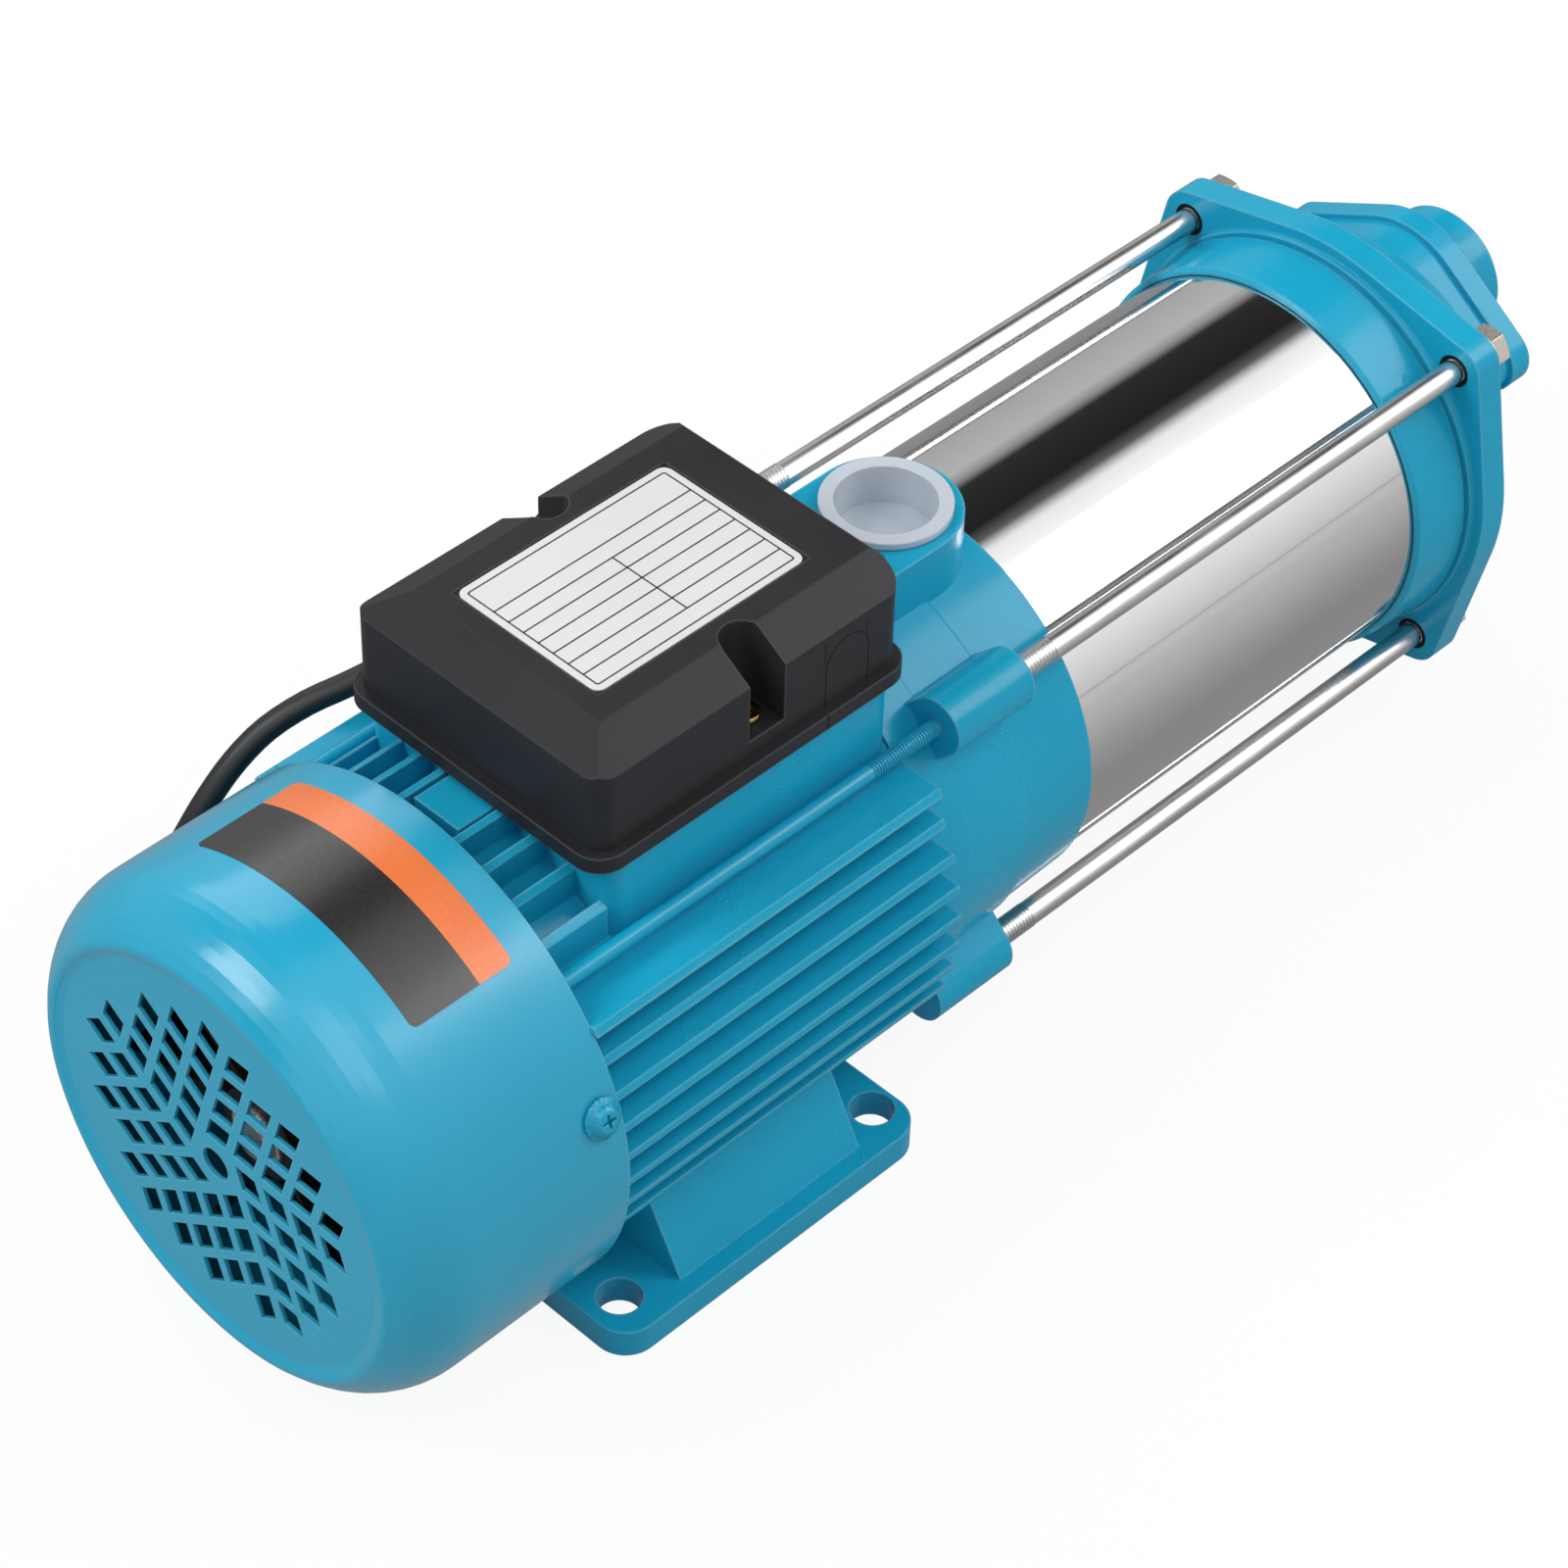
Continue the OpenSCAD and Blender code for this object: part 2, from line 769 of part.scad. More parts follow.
groove_x0 = flange_x0 - 2 * groove_w;
dome_round = dome_l - cover_wall / 2;
dome_c = [dome_r0 - dome_round, flange_x1 + cover_wall];
cavity_r = dome_r0 - cover_wall;
module suction_cover() {
    color(blue)
        difference() {
            union() {
                turned([[0, barrel_x1], [collar_r0, barrel_x1], [collar_r0 + edge, barrel_x1 + edge],
                    [collar_r1, groove_x0], [collar_r1 - groove_deep, groove_x0],
                    [collar_r1 - groove_deep, groove_x0 + groove_w],
                    [collar_r1 + groove_deep, groove_x0 + groove_w],
                    [collar_r1 + groove_deep + edge, flange_x0 + cut], [0, flange_x0 + cut]], 128);
                slab_x(flange_x0, flange_x1)
                    flange_profile();
                turned(concat([[0, flange_x1 - cut], [dome_r0, flange_x1 - cut]],
                    arc(dome_c, dome_round, 0, 90, 8), [[0, dome_c[1] + dome_round]]), 96);
                rod_x(flange_x1, oval_x0, inlet_r, [0, inlet_rise], $fn = 64);
                // Pad that carries the port's oval plate on the dome
                slab_x(dome_c[1], oval_x0)
                    oval_profile(pad_in);
            }
            rod_x(barrel_x1 - cut, barrel_x1 + lap + seal_w, barrel_r + fit_gap, $fn = 128);
            turned(concat([[0, barrel_x1], [cavity_r, barrel_x1]],
                arc(dome_c, dome_round - cover_wall, 0, 90, 8),
                [[0, dome_c[1] + dome_round - cover_wall]]), 96);
            rod_x(dome_c[1], oval_x0 + cut, port_bore_r, [0, inlet_rise], $fn = 64);
            for (at = rod_places)
                rod_x(groove_x0, flange_x1 + cut, rod_r + seat_gap, at);
        }
}

// Suction port: oval plate on the cover's raised face, with the threaded boss
module suction_port() {
    color(blue)
        difference() {
            union() {
                rod_x(oval_x0, inlet_x1, inlet_r, [0, inlet_rise], $fn = 64);
                slab_x(oval_x0, oval_x0 + oval_t)
                    oval_profile(0);
            }
            rod_x(oval_x0 - cut, inlet_x1 + cut, port_bore_r, [0, inlet_rise], $fn = 64);
        }
}

module tie_rods() {
    color(steel)
        for (at = rod_places)
            rod_x(boss_x1 - rod_depth + fit_gap, flange_x1 + washer_t + nut_h + rod_spare, rod_r, at);
}

module tie_rod_nuts() {
    color(steel)
        for (at = rod_places)
            difference() {
                hex_x(flange_x1 + washer_t, flange_x1 + washer_t + nut_h, nut_r, at);
                rod_x(flange_x1, flange_x1 + washer_t + nut_h + cut, rod_r + fit_gap, at);
            }
}

module tie_rod_washers() {
    color(steel)
        for (at = rod_places)
            difference() {
                rod_x(flange_x1, flange_x1 + washer_t, washer_r, at);
                rod_x(flange_x1 - cut, flange_x1 + washer_t + cut, rod_r + fit_gap, at);
            }
}

// Curved blades between two radii, standing from x0 to x1
module blades(x0, x1, count, bend, r_in, r_out, sense) {
    slab_x(x0, x1)
        intersection() {
            for (i = [0:count - 1])
                rotate(i * 360 / count)
                    intersection() {
                        translate([bend * sense, 0])
                            difference() {
                                circle(bend + vane_t / 2);
                                circle(bend - vane_t / 2);
                            }
                        translate([-bend * 2, 0])
                            square([bend * 4, bend * 2]);
                    }
            difference() {
                circle(r_out, $fn = 96);
                circle(r_in);
            }
        }
}

// Stage housing: eye plate, guide blades, disc and shell
disc_x = plate_t + vane_gap;
wheel_x = disc_x + plate_t + wheel_gap;
hub_back = plate_t + wheel_gap;
module stage_housing(i) {
    x0 = stage_x0 + i * stage_l;
    color([0.86, 0.84, 0.78]) {
        tube_x(x0, x0 + plate_t, stage_r - cut, eye_r + run_gap);
        tube_x(x0, x0 + stage_l - fit_gap, stage_r, stage_r - stage_shell_t);
        blades(x0 + plate_t / 2, x0 + disc_x + plate_t / 2, guide_vanes, disc_r / 2 + eye_t,
            eye_r + plate_t, disc_r - edge, -1);
        tube_x(x0 + disc_x, x0 + disc_x + plate_t, disc_r, hub_r + run_gap);
    }
}

// Impeller: back shroud with hub, curved blades, front shroud with its eye ring
module impeller(i) {
    x0 = stage_x0 + i * stage_l + wheel_x;
    x1 = x0 + impeller_h;
    color([0.9, 0.88, 0.8]) {
        tube_x(x0, x0 + impeller_wall, impeller_r, pump_shaft_r + fit_gap);
        tube_x(x0 - hub_back, x1, hub_r, pump_shaft_r + fit_gap);
        blades(x0 + impeller_wall / 2, x1 - impeller_wall / 2, impeller_vanes,
            impeller_r / 2 + vane_t, hub_r - edge, impeller_r - edge, 1);
        tube_x(x1 - impeller_wall, x1, impeller_r, eye_r - eye_t);
        tube_x(x1 - impeller_wall / 2, x1 + ring_reach, eye_r, eye_r - eye_t);
    }
}

module inlet_plate() {
    x0 = stage_x0 + stage_count * stage_l;
    x1 = barrel_x1 + lap + seal_w - fit_gap;
    color([0.86, 0.84, 0.78])
        difference() {
            union() {
                tube_x(x0, x0 + plate_t, stage_r, eye_r + run_gap);
                tube_x(x0, x1, stage_r, stage_r - stage_shell_t);
            }
            tube_x(x1 - seal_w, x1 + cut, stage_r + cut, stage_r - stage_shell_t / 2);
        }
}

module impeller_spacers() {
    color(steel) {
        for (i = [0:stage_count - 2])
            tube_x(stage_x0 + i * stage_l + wheel_x + impeller_h + fit_gap,
                stage_x0 + (i + 1) * stage_l + wheel_x - hub_back - fit_gap,
                hub_r - edge, pump_shaft_r + fit_gap);
        tube_x(seal_x0 + head_w + fit_gap, stage_x0 + wheel_x - hub_back - fit_gap,
            hub_r - edge, pump_shaft_r + fit_gap);
    }
}

nut_x = stage_x0 + (stage_count - 1) * stage_l + wheel_x + impeller_h + fit_gap;
module impeller_nut() {
    color(steel)
        difference() {
            hex_x(nut_x, nut_x + nut_h, hub_r);
            rod_x(nut_x - cut, nut_x + nut_h + cut, pump_shaft_r + fit_gap);
        }
}

// Shaft with its seats, from the fan to the impeller nut
module motor_shaft() {
    back_x = fan_x0 - shaft_end;
    tip_x = nut_x + nut_h + shaft_end;
    color(steel)
        turned([[0, back_x], [fan_seat_r - edge, back_x], [fan_seat_r, back_x + edge],
            [fan_seat_r, rear_hub_x0], [shaft_r, rear_hub_x0],
            [shaft_r, rear_bearing_x + bearing_w], [rotor_shaft_r, rear_bearing_x + bearing_w],
            [rotor_shaft_r, front_bearing_x], [shaft_r, front_bearing_x],
            [shaft_r, seal_x0 + head_w], [pump_shaft_r, seal_x0 + head_w],
            [pump_shaft_r, tip_x - edge], [pump_shaft_r - edge, tip_x], [0, tip_x]], 64);
}

module rotor_core() {
    color([0.4, 0.4, 0.42])
        tube_x(stack_x0, stack_x1, rotor_r, rotor_shaft_r + fit_gap);
}

module rotor_cage() {
    color([0.7, 0.71, 0.73])
        for (side = [0, 1])
            mirror([side, 0, 0])
                tube_x(stack_x1 + fit_gap, stack_x1 + cage_l, rotor_r - edge, cage_in_r);
}

module cooling_fan() {
    back = fan_x0 + fan_l;
    color(black)
        difference() {
            union() {
                rod_x(fan_x0, back, fan_hub_r);
                rod_x(back - fan_disc_t, back, fan_r);
                for (i = [0:fan_blades - 1])
                    translate([fan_x0 + 2 * fan_disc_t, 0, shaft_h])
                        rotate([i * 360 / fan_blades, 0, 0])
                            translate([0, -fan_blade_t / 2, fan_hub_r - cut])
                                cube([fan_l - 3 * fan_disc_t, fan_blade_t, fan_r - fan_hub_r]);
            }
            rod_x(fan_x0 - cut, back + cut, fan_seat_r + fit_gap);
        }
}

module fan_clip() {
    color(steel)
        tube_x(fan_x0 - clip_t - fit_gap, fan_x0 - fit_gap, shaft_r + edge, fan_seat_r + fit_gap);
}

// Ball bearings
module race_groove(x) {
    translate([x + bearing_w / 2, 0, shaft_h])
        rotate([0, 90, 0])
            rotate_extrude($fn = 64)
                translate([ball_circle_r, 0])
                    circle(ball_r + ball_gap);
}

module bearing_outer_rings() {
    color(steel)
        for (x = [rear_bearing_x, front_bearing_x])
            difference() {
                tube_x(x, x + bearing_w, bearing_r, bearing_r - race_t);
                race_groove(x);
            }
}

module bearing_inner_rings() {
    color(steel)
        for (x = [rear_bearing_x, front_bearing_x])
            difference() {
                tube_x(x + fit_gap, x + bearing_w - fit_gap, shaft_r + race_t, shaft_r + fit_gap);
                race_groove(x);
            }
}

module bearing_balls() {
    color(steel)
        for (x = [rear_bearing_x, front_bearing_x], i = [0:ball_count - 1])
            translate([x + bearing_w / 2, 0, shaft_h])
                rotate([i * 360 / ball_count, 0, 0])
                    translate([0, 0, ball_circle_r])
                        sphere(r = ball_r, $fn = 24);
}

module wave_washer() {
    color(steel)
        tube_x(rear_bearing_x - wave_t, rear_bearing_x - fit_gap, bearing_r - fit_gap,
            bearing_r - race_t);
}

// Shaft seal
module seal_seat() {
    color([0.85, 0.83, 0.78])
        tube_x(seal_x0 - seat_w, seal_x0, seat_r, shaft_r + run_gap);
}

module seal_head() {
    color(black)
        turned([[shaft_r + fit_gap, seal_x0 + fit_gap], [seat_r - edge, seal_x0 + fit_gap],
            [seat_r - edge, seal_x0 + head_step], [seat_r + edge, seal_x0 + head_step],
            [seat_r + edge, seal_x0 + head_w], [shaft_r + fit_gap, seal_x0 + head_w]]);
}

// Terminal box
seat_z = shaft_h + box_seat_h;
lid_z0 = seat_z + rim_h;
tray_z1 = seat_z + tray_t;
box_screw_places = [[ped_x0 + ped_wall / 2, -window_w], [ped_x0 + ped_wall / 2, window_w],
    [frame_x1 - ped_wall / 2, -window_w], [frame_x1 - ped_wall / 2, window_w]];
lid_screw_y = box_w / 2 - slot_deep / 2;

module grommet_bore(r) {
    translate([grommet_x, box_w / 4, seat_z + grommet_h])
        rotate([-90, 0, 0])
            cylinder(h = box_w / 2, r = r);
}

module terminal_box_base() {
    color(black)
        difference() {
            union() {
                difference() {
                    translate([0, 0, seat_z])
                        linear_extrude(rim_h)
                            rounded(box_x0 - rim_out, box_x1 + rim_out, -box_w / 2 - rim_out,
                                box_w / 2 + rim_out, lid_corner_r + rim_out);
                    translate([0, 0, tray_z1])
                        linear_extrude(rim_h)
                            rounded(box_x0 + box_wall, box_x1 - box_wall, box_wall - box_w / 2,
                                box_w / 2 - box_wall, lid_corner_r - box_wall);
                }
                for (y = [-1, 1] * lid_screw_y)
                    translate([slot_x, y, seat_z + edge])
                        cylinder(h = slot_floor_h - box_wall - edge, r = slot_r - edge);
            }
            for (y = [-1, 1] * lid_screw_y)
                translate([slot_x, y, seat_z + edge])
                    cylinder(h = slot_floor_h, r = screw_r + fit_gap);
            translate([-window_l / 2, -window_w / 2, seat_z - cut])
                cube([window_l, window_w, tray_t + 2 * cut]);
            for (at = box_screw_places)
                translate([at[0], at[1], seat_z - cut])
                    cylinder(h = tray_t + 2 * cut, r = screw_r + fit_gap);
            grommet_bore(grommet_r + fit_gap);
        }
}

module terminal_box_gasket() {
    color([0.2, 0.2, 0.2])
        difference() {
            translate([0, 0, seat_z - gasket_t])
                linear_extrude(gasket_t)
                    rounded(ped_x0 + edge, frame_x1 - edge, edge - ped_w / 2, ped_w / 2 - edge,
                        ped_corner_r);
            translate([0, 0, seat_z - gasket_t - cut])
                linear_extrude(gasket_t + 2 * cut)
                    rounded(ped_x0 + ped_wall, frame_x1 - ped_wall, ped_wall - ped_w / 2,
                        ped_w / 2 - ped_wall, ped_corner_r / 2);
            for (at = box_screw_places)
                translate([at[0], at[1], seat_z - gasket_t - cut])
                    cylinder(h = gasket_t + 2 * cut, r = screw_r + fit_gap);
        }
}

// Solid form of the lid, drawn in by a wall on all sides
module lid_form(wall) {
    w = box_w / 2 - wall;
    top = seat_z + box_h - wall;
    shelf = seat_z + lid_wall_h - wall / 2;
    intersection() {
        translate([0, 0, lid_z0 - (wall > 0 ? cut : 0)])
            linear_extrude(box_h)
                rounded(box_x0 + wall, box_x1 - wall, -w, w, lid_corner_r - wall);
        translate([box_x0 - cut, 0, 0])
            rotate([90, 0, 90])
                linear_extrude(box_l + 2 * cut)
                    polygon([[-w, 0], [w, 0], [w, shelf], [w - lid_chamfer, top],
                        [lid_chamfer - w, top], [-w, shelf]]);
        translate([0, box_w / 2 + cut, 0])
            rotate([90, 0, 0])
                linear_extrude(box_w + 2 * cut)
                    polygon([[box_x0 + wall, 0], [box_x1 - wall, 0], [box_x1 - wall, top - lid_edge],
                        [box_x1 - wall - lid_edge, top], [box_x0 + wall + lid_chamfer, top],
                        [box_x0 + wall, shelf]]);
    }
}

// Round-ended recess of a lid screw, cut from the long wall
module lid_recess(r, floor_h) {
    for (side = [0, 1])
        mirror([0, side, 0])
            translate([slot_x, 0, seat_z + floor_h]) {
                translate([0, box_w / 2 - slot_deep + slot_r, 0])
                    cylinder(h = box_h, r = r);
                translate([-r, box_w / 2 - slot_deep + slot_r, 0])
                    cube([2 * r, slot_deep, box_h]);
            }
}

module terminal_box_lid() {
    color(black)
        difference() {
            lid_form(0);
            difference() {
                lid_form(box_wall);
                lid_recess(slot_r + box_wall, slot_floor_h - box_wall);
            }
            lid_recess(slot_r, slot_floor_h);
            translate([label_x0, -label_w / 2, seat_z + box_h - label_deep])
                cube([label_l, label_w, label_deep + cut]);
            for (y = [-1, 1] * lid_screw_y)
                translate([slot_x, y, seat_z])
                    cylinder(h = slot_floor_h + cut, r = screw_r + fit_gap);
            grommet_bore(grommet_r + fit_gap);
        }
}

module box_lid_screws() {
    color([0.8, 0.62, 0.25])
        for (y = [-1, 1] * lid_screw_y)
            translate([slot_x, y, seat_z]) {
                translate([0, 0, tray_t])
                    cylinder(h = slot_floor_h - tray_t + edge, r = screw_r);
                translate([0, 0, slot_floor_h + fit_gap])
                    cylinder(h = screw_head_h, r = lid_screw_head_r);
            }
}

module box_base_screws() {
    color(steel)
        for (at = box_screw_places)
            translate([at[0], at[1], tray_z1]) {
                translate([0, 0, fit_gap])
                    cylinder(h = screw_head_h, r = base_screw_head_r);
                translate([0, 0, tray_t - screw_l])
                    cylinder(h = screw_l - tray_t + edge, r = screw_r);
            }
}

block_l = 26;
block_w = 34;
block_h = 14;
block_x = 32;
module terminal_block() {
    color([0.82, 0.8, 0.74])
        difference() {
            translate([block_x, -block_w / 2, tray_z1])
                cube([block_l, block_w, block_h]);
            for (i = [0:2], side = [0, 1])
                translate([block_x + block_l / 4 + side * block_l / 2,
                    (i - 1) * block_w / 3, tray_z1 + block_h / 2])
                    cylinder(h = block_h, r = block_l / 8);
        }
}

capacitor_clear = 5.7;
capacitor_r = (box_w / 2 - box_wall - lid_chamfer - capacitor_clear) / 2;
capacitor_l = 56;
capacitor_x = -30;
module run_capacitor() {
    color([0.85, 0.85, 0.83])
        translate([capacitor_x, capacitor_r + edge, tray_z1 + capacitor_r])
            rotate([0, 90, 0])
                cylinder(h = capacitor_l, r = capacitor_r);
}

// Cord: grommet, free stretches, put-away coil and plug
grommet_y0 = box_w / 2 - box_wall - grommet_lip_t;
elbow = [grommet_x, box_w / 2 + elbow_out, seat_z + grommet_h];
relief_way = [-cos(relief_lean) * cos(relief_swing), cos(relief_lean) * sin(relief_swing),
    -sin(relief_lean)];
cord_start = elbow + (relief_l - grommet_seat) * relief_way;
module along_relief() {
    translate(elbow)
        rotate([0, 90 + relief_lean, 180 - relief_swing])
            children();
}

module cord_grommet() {
    color(black)
        difference() {
            union() {
                translate([grommet_x, grommet_y0, seat_z + grommet_h])
                    rotate([-90, 0, 0]) {
                        cylinder(h = elbow[1] - grommet_y0, r = grommet_r);
                        cylinder(h = grommet_lip_t - fit_gap, r = grommet_r + grommet_lip);
                        translate([0, 0, grommet_lip_t + box_wall + rim_out + fit_gap])
                            cylinder(h = grommet_lip_t, r = grommet_r + grommet_lip);
                    }
                translate(elbow)
                    sphere(elbow_r);
                along_relief()
                    cylinder(h = relief_l, r1 = grommet_r, r2 = relief_r);
            }
            along_relief()
                translate([0, 0, relief_l - grommet_seat])
                    cylinder(h = grommet_seat + cut, r = cord_r + fit_gap);
        }
}

// Points round a ring of a tube, square to the run t
function unit(v) = v / norm(v);
function ring(p, t, guide, r, sides) = let (a = unit(cross(t, guide)), b = unit(cross(a, t)))
    [for (k = [0:sides - 1]) p + r * (cos(360 * k / sides) * a + sin(360 * k / sides) * b)];

// Tube of one skin swept along a list of points
module sweep(path, r, sides, guide) {
    n = len(path);
    runs = [for (i = [0:n - 1]) path[min(i + 1, n - 1)] - path[max(i - 1, 0)]];
    points = [for (i = [0:n - 1]) each ring(path[i], runs[i], guide, r, sides)];
    flanks = [for (i = [0:n - 2], k = [0:sides - 1]) let (a = i * sides + k,
        b = i * sides + (k + 1) % sides) each [[a, b, a + sides], [b, b + sides, a + sides]]];
    last = (n - 1) * sides;
    caps = [for (k = [1:sides - 2]) each [[0, k + 1, k], [last, last + k, last + k + 1]]];
    polyhedron(points = points, faces = concat(flanks, caps));
}

// Smooth run through hand-chosen points
function bend(p0, p1, p2, p3, u) = 0.5 * (2 * p1 + u * (p2 - p0)
    + u * u * (2 * p0 - 5 * p1 + 4 * p2 - p3) + u * u * u * (3 * p1 - p0 - 3 * p2 + p3));
function smooth(pts, steps) = let (n = len(pts)) concat([for (i = [0:n - 2], s = [0:steps - 1])
    bend(pts[max(i - 1, 0)], pts[i], pts[i + 1], pts[min(i + 2, n - 1)], s / steps)],
    [pts[n - 1]]);

cord_d = 2 * cord_r;
coil_clear = 2;
layer_clear = 0.6;
coil_step = cord_d + coil_clear;
coil_rise = cord_d + layer_clear;
coil_in = 1.75;
coil_turns = 4;
coil_c = [150, 112];
coil_out_r = coil_r + coil_step * coil_in / 2;
function coil_radius(t) = coil_out_r - coil_step * min(t, coil_in, coil_turns - t);
function coil_height(t) = let (u = max(0, min(1, (t - coil_in) / (coil_turns - 2 * coil_in))))
    cord_r + coil_rise * u * u * (3 - 2 * u);
coil_path = concat([[coil_c[0] - cord_d, coil_c[1] - coil_out_r, cord_r]],
    [for (i = [0:24 * coil_turns]) let (t = i / 24) [coil_c[0] + coil_radius(t)
    * cos(360 * t - 90), coil_c[1] + coil_radius(t) * sin(360 * t - 90), coil_height(t)]],
    [[coil_c[0] + cord_d, coil_c[1] - coil_out_r, cord_r + coil_rise]]);
coil_gaps = [for (i = [0:len(coil_path) - 1], j = [i + 8:1:len(coil_path) - 1])
    norm(coil_path[i] - coil_path[j]) - cord_d];
echo(least_coil_gap = min(coil_gaps));

cord_points = [cord_start, cord_start + 2 * cord_d * relief_way, [-1.2, 62.4, 141.8],
    [-12.6, 65.2, 137.4], [-23.7, 70.2, 132.9], [-34.9, 76, 128.7], [-45.8, 80.6, 122.9],
    [-55.1, 83.6, 115], [-63.3, 85.6, 105.6], [-70.2, 87.6, 95], [-75.3, 90.2, 83.5],
    [-78.2, 93.1, 71], [-78.6, 96.4, 57.8], [-76, 100, 42], [-69.9, 103.6, 26.5],
    [-61.5, 105.8, 14.2], [-49.5, 106.4, 6.8], [-35, 104.2, 4.1], [-12, 97.8, 3.8],
    [15, 89.6, 3.8], [45, 81.5, 3.8], [75, 73.5, 3.8], [105, 65, 3.8],
    [coil_c[0] - 3 * cord_d, coil_c[1] - coil_out_r, cord_r], coil_path[0]];
plug_x = 232;
plug_y = 82;
plug_r = 18.5;
plug_l = 36;
plug_neck_l = 14;
plug_neck_r = 9;
pin_r = 2.4;
pin_l = 19;
pin_root = 15;
pin_gap = 19;
tail_points = [coil_path[len(coil_path) - 1], [coil_c[0] + 2 * cord_d, coil_c[1] - coil_out_r,
    cord_r + coil_rise], [176, 65, 12], [190, 73, 15], [202, 80, 18],
    [plug_x - plug_neck_l - cord_d, plug_y, plug_r], [plug_x - plug_neck_l - cord_r, plug_y, plug_r],
    [plug_x - plug_neck_l, plug_y, plug_r]];

module power_cord() {
    color(black)
        sweep(smooth(cord_points, 3), cord_r, 10, [0.7, 0.5, 0.6]);
}

module cord_coil() {
    color(black)
        sweep(coil_path, cord_r, 6, [0, 0, 1]);
}

module cord_tail() {
    color(black)
        sweep(smooth(tail_points, 3), cord_r, 10, [0, 0, 1]);
}

module plug_body() {
    color(black)
        difference() {
            union() {
                translate([plug_x, plug_y, plug_r])
                    rotate([0, 90, 0])
                        cylinder(h = plug_l, r = plug_r);
                translate([plug_x - plug_neck_l, plug_y, plug_r])
                    rotate([0, 90, 0])
                        cylinder(h = plug_neck_l + edge, r = plug_neck_r);
            }
            for (side = [-1, 1])
                translate([plug_x + plug_l - pin_root, plug_y + side * pin_gap / 2, plug_r])
                    rotate([0, 90, 0])
                        cylinder(h = pin_root + cut, r = pin_r + fit_gap);
        }
}

module plug_pins() {
    color(steel)
        for (side = [-1, 1])
            translate([plug_x + plug_l - pin_root, plug_y + side * pin_gap / 2, plug_r])
                rotate([0, 90, 0])
                    cylinder(h = pin_l + pin_root, r = pin_r);
}

// Shipping caps of the two ports
cap_rim_r = 19;
cap_rim_t = 2.5;
cap_l = 12;
cap_wall = 1.6;
module port_cap() {
    rotate_extrude($fn = 64)
        polygon([[0, -cap_l], [port_bore_r - seat_gap, -cap_l], [port_bore_r - seat_gap, seat_gap],
            [cap_rim_r, seat_gap], [cap_rim_r, cap_rim_t], [port_bore_r - seat_gap - cap_wall,
            cap_rim_t], [port_bore_r - seat_gap - cap_wall, cap_wall - cap_l],
            [0, cap_wall - cap_l]]);
}

module outlet_cap() {
    color([0.93, 0.95, 0.97])
        translate([outlet_x, 0, shaft_h + outlet_h])
            port_cap();
}

module inlet_cap() {
    color([0.93, 0.95, 0.97])
        translate([inlet_x1, 0, shaft_h + inlet_rise])
            rotate([0, 90, 0])
                port_cap();
}

// Drain plug below the wet chamber
module drain_plug() {
    color([0.8, 0.62, 0.25])
        translate([outlet_x, 0, drain_boss_h - drain_seal_t]) {
            translate([0, 0, -edge])
                cylinder(h = drain_l + edge, r = drain_r);
            translate([0, 0, -drain_head_h])
                cylinder(h = drain_head_h, r = drain_head_r, $fn = 6);
        }
}

module drain_seal() {
    color(black)
        translate([outlet_x, 0, drain_boss_h - drain_seal_t])
            difference() {
                cylinder(h = drain_seal_t, r = drain_head_r);
                translate([0, 0, -cut])
                    cylinder(h = drain_seal_t + 2 * cut, r = drain_r + fit_gap);
            }
}

motor_frame();
motor_foot();
rear_shield();
fan_cover();
fan_cover_screws();
motor_tie_bolts();
stator_core();
stator_winding();
pump_bracket();
barrel_sleeve();
barrel_seals();
suction_cover();
suction_port();
tie_rods();
tie_rod_nuts();
tie_rod_washers();
stage_housing(0);  // stage_housing_1
stage_housing(1);  // stage_housing_2
stage_housing(2);  // stage_housing_3
stage_housing(3);  // stage_housing_4
stage_housing(4);  // stage_housing_5
stage_housing(5);  // stage_housing_6
impeller(0);  // impeller_1
impeller(1);  // impeller_2
impeller(2);  // impeller_3
impeller(3);  // impeller_4
impeller(4);  // impeller_5
impeller(5);  // impeller_6
impeller_spacers();
impeller_nut();
motor_shaft();
rotor_core();
rotor_cage();
cooling_fan();
fan_clip();
bearing_outer_rings();
bearing_inner_rings();
bearing_balls();
wave_washer();
seal_seat();
seal_head();
inlet_plate();
terminal_box_base();
terminal_box_gasket();
terminal_box_lid();
box_lid_screws();
box_base_screws();
terminal_block();
run_capacitor();
cord_grommet();
power_cord();
cord_coil();
cord_tail();
plug_body();
plug_pins();
outlet_cap();
inlet_cap();
drain_plug();
drain_seal();
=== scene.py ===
"""Looks of a horizontal multistage centrifugal pump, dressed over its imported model."""

from __future__ import annotations

import logging
import math
from collections.abc import Callable, Iterator
from contextlib import contextmanager
from dataclasses import dataclass, field
from enum import Enum

import bpy
from mathutils import Matrix, Vector


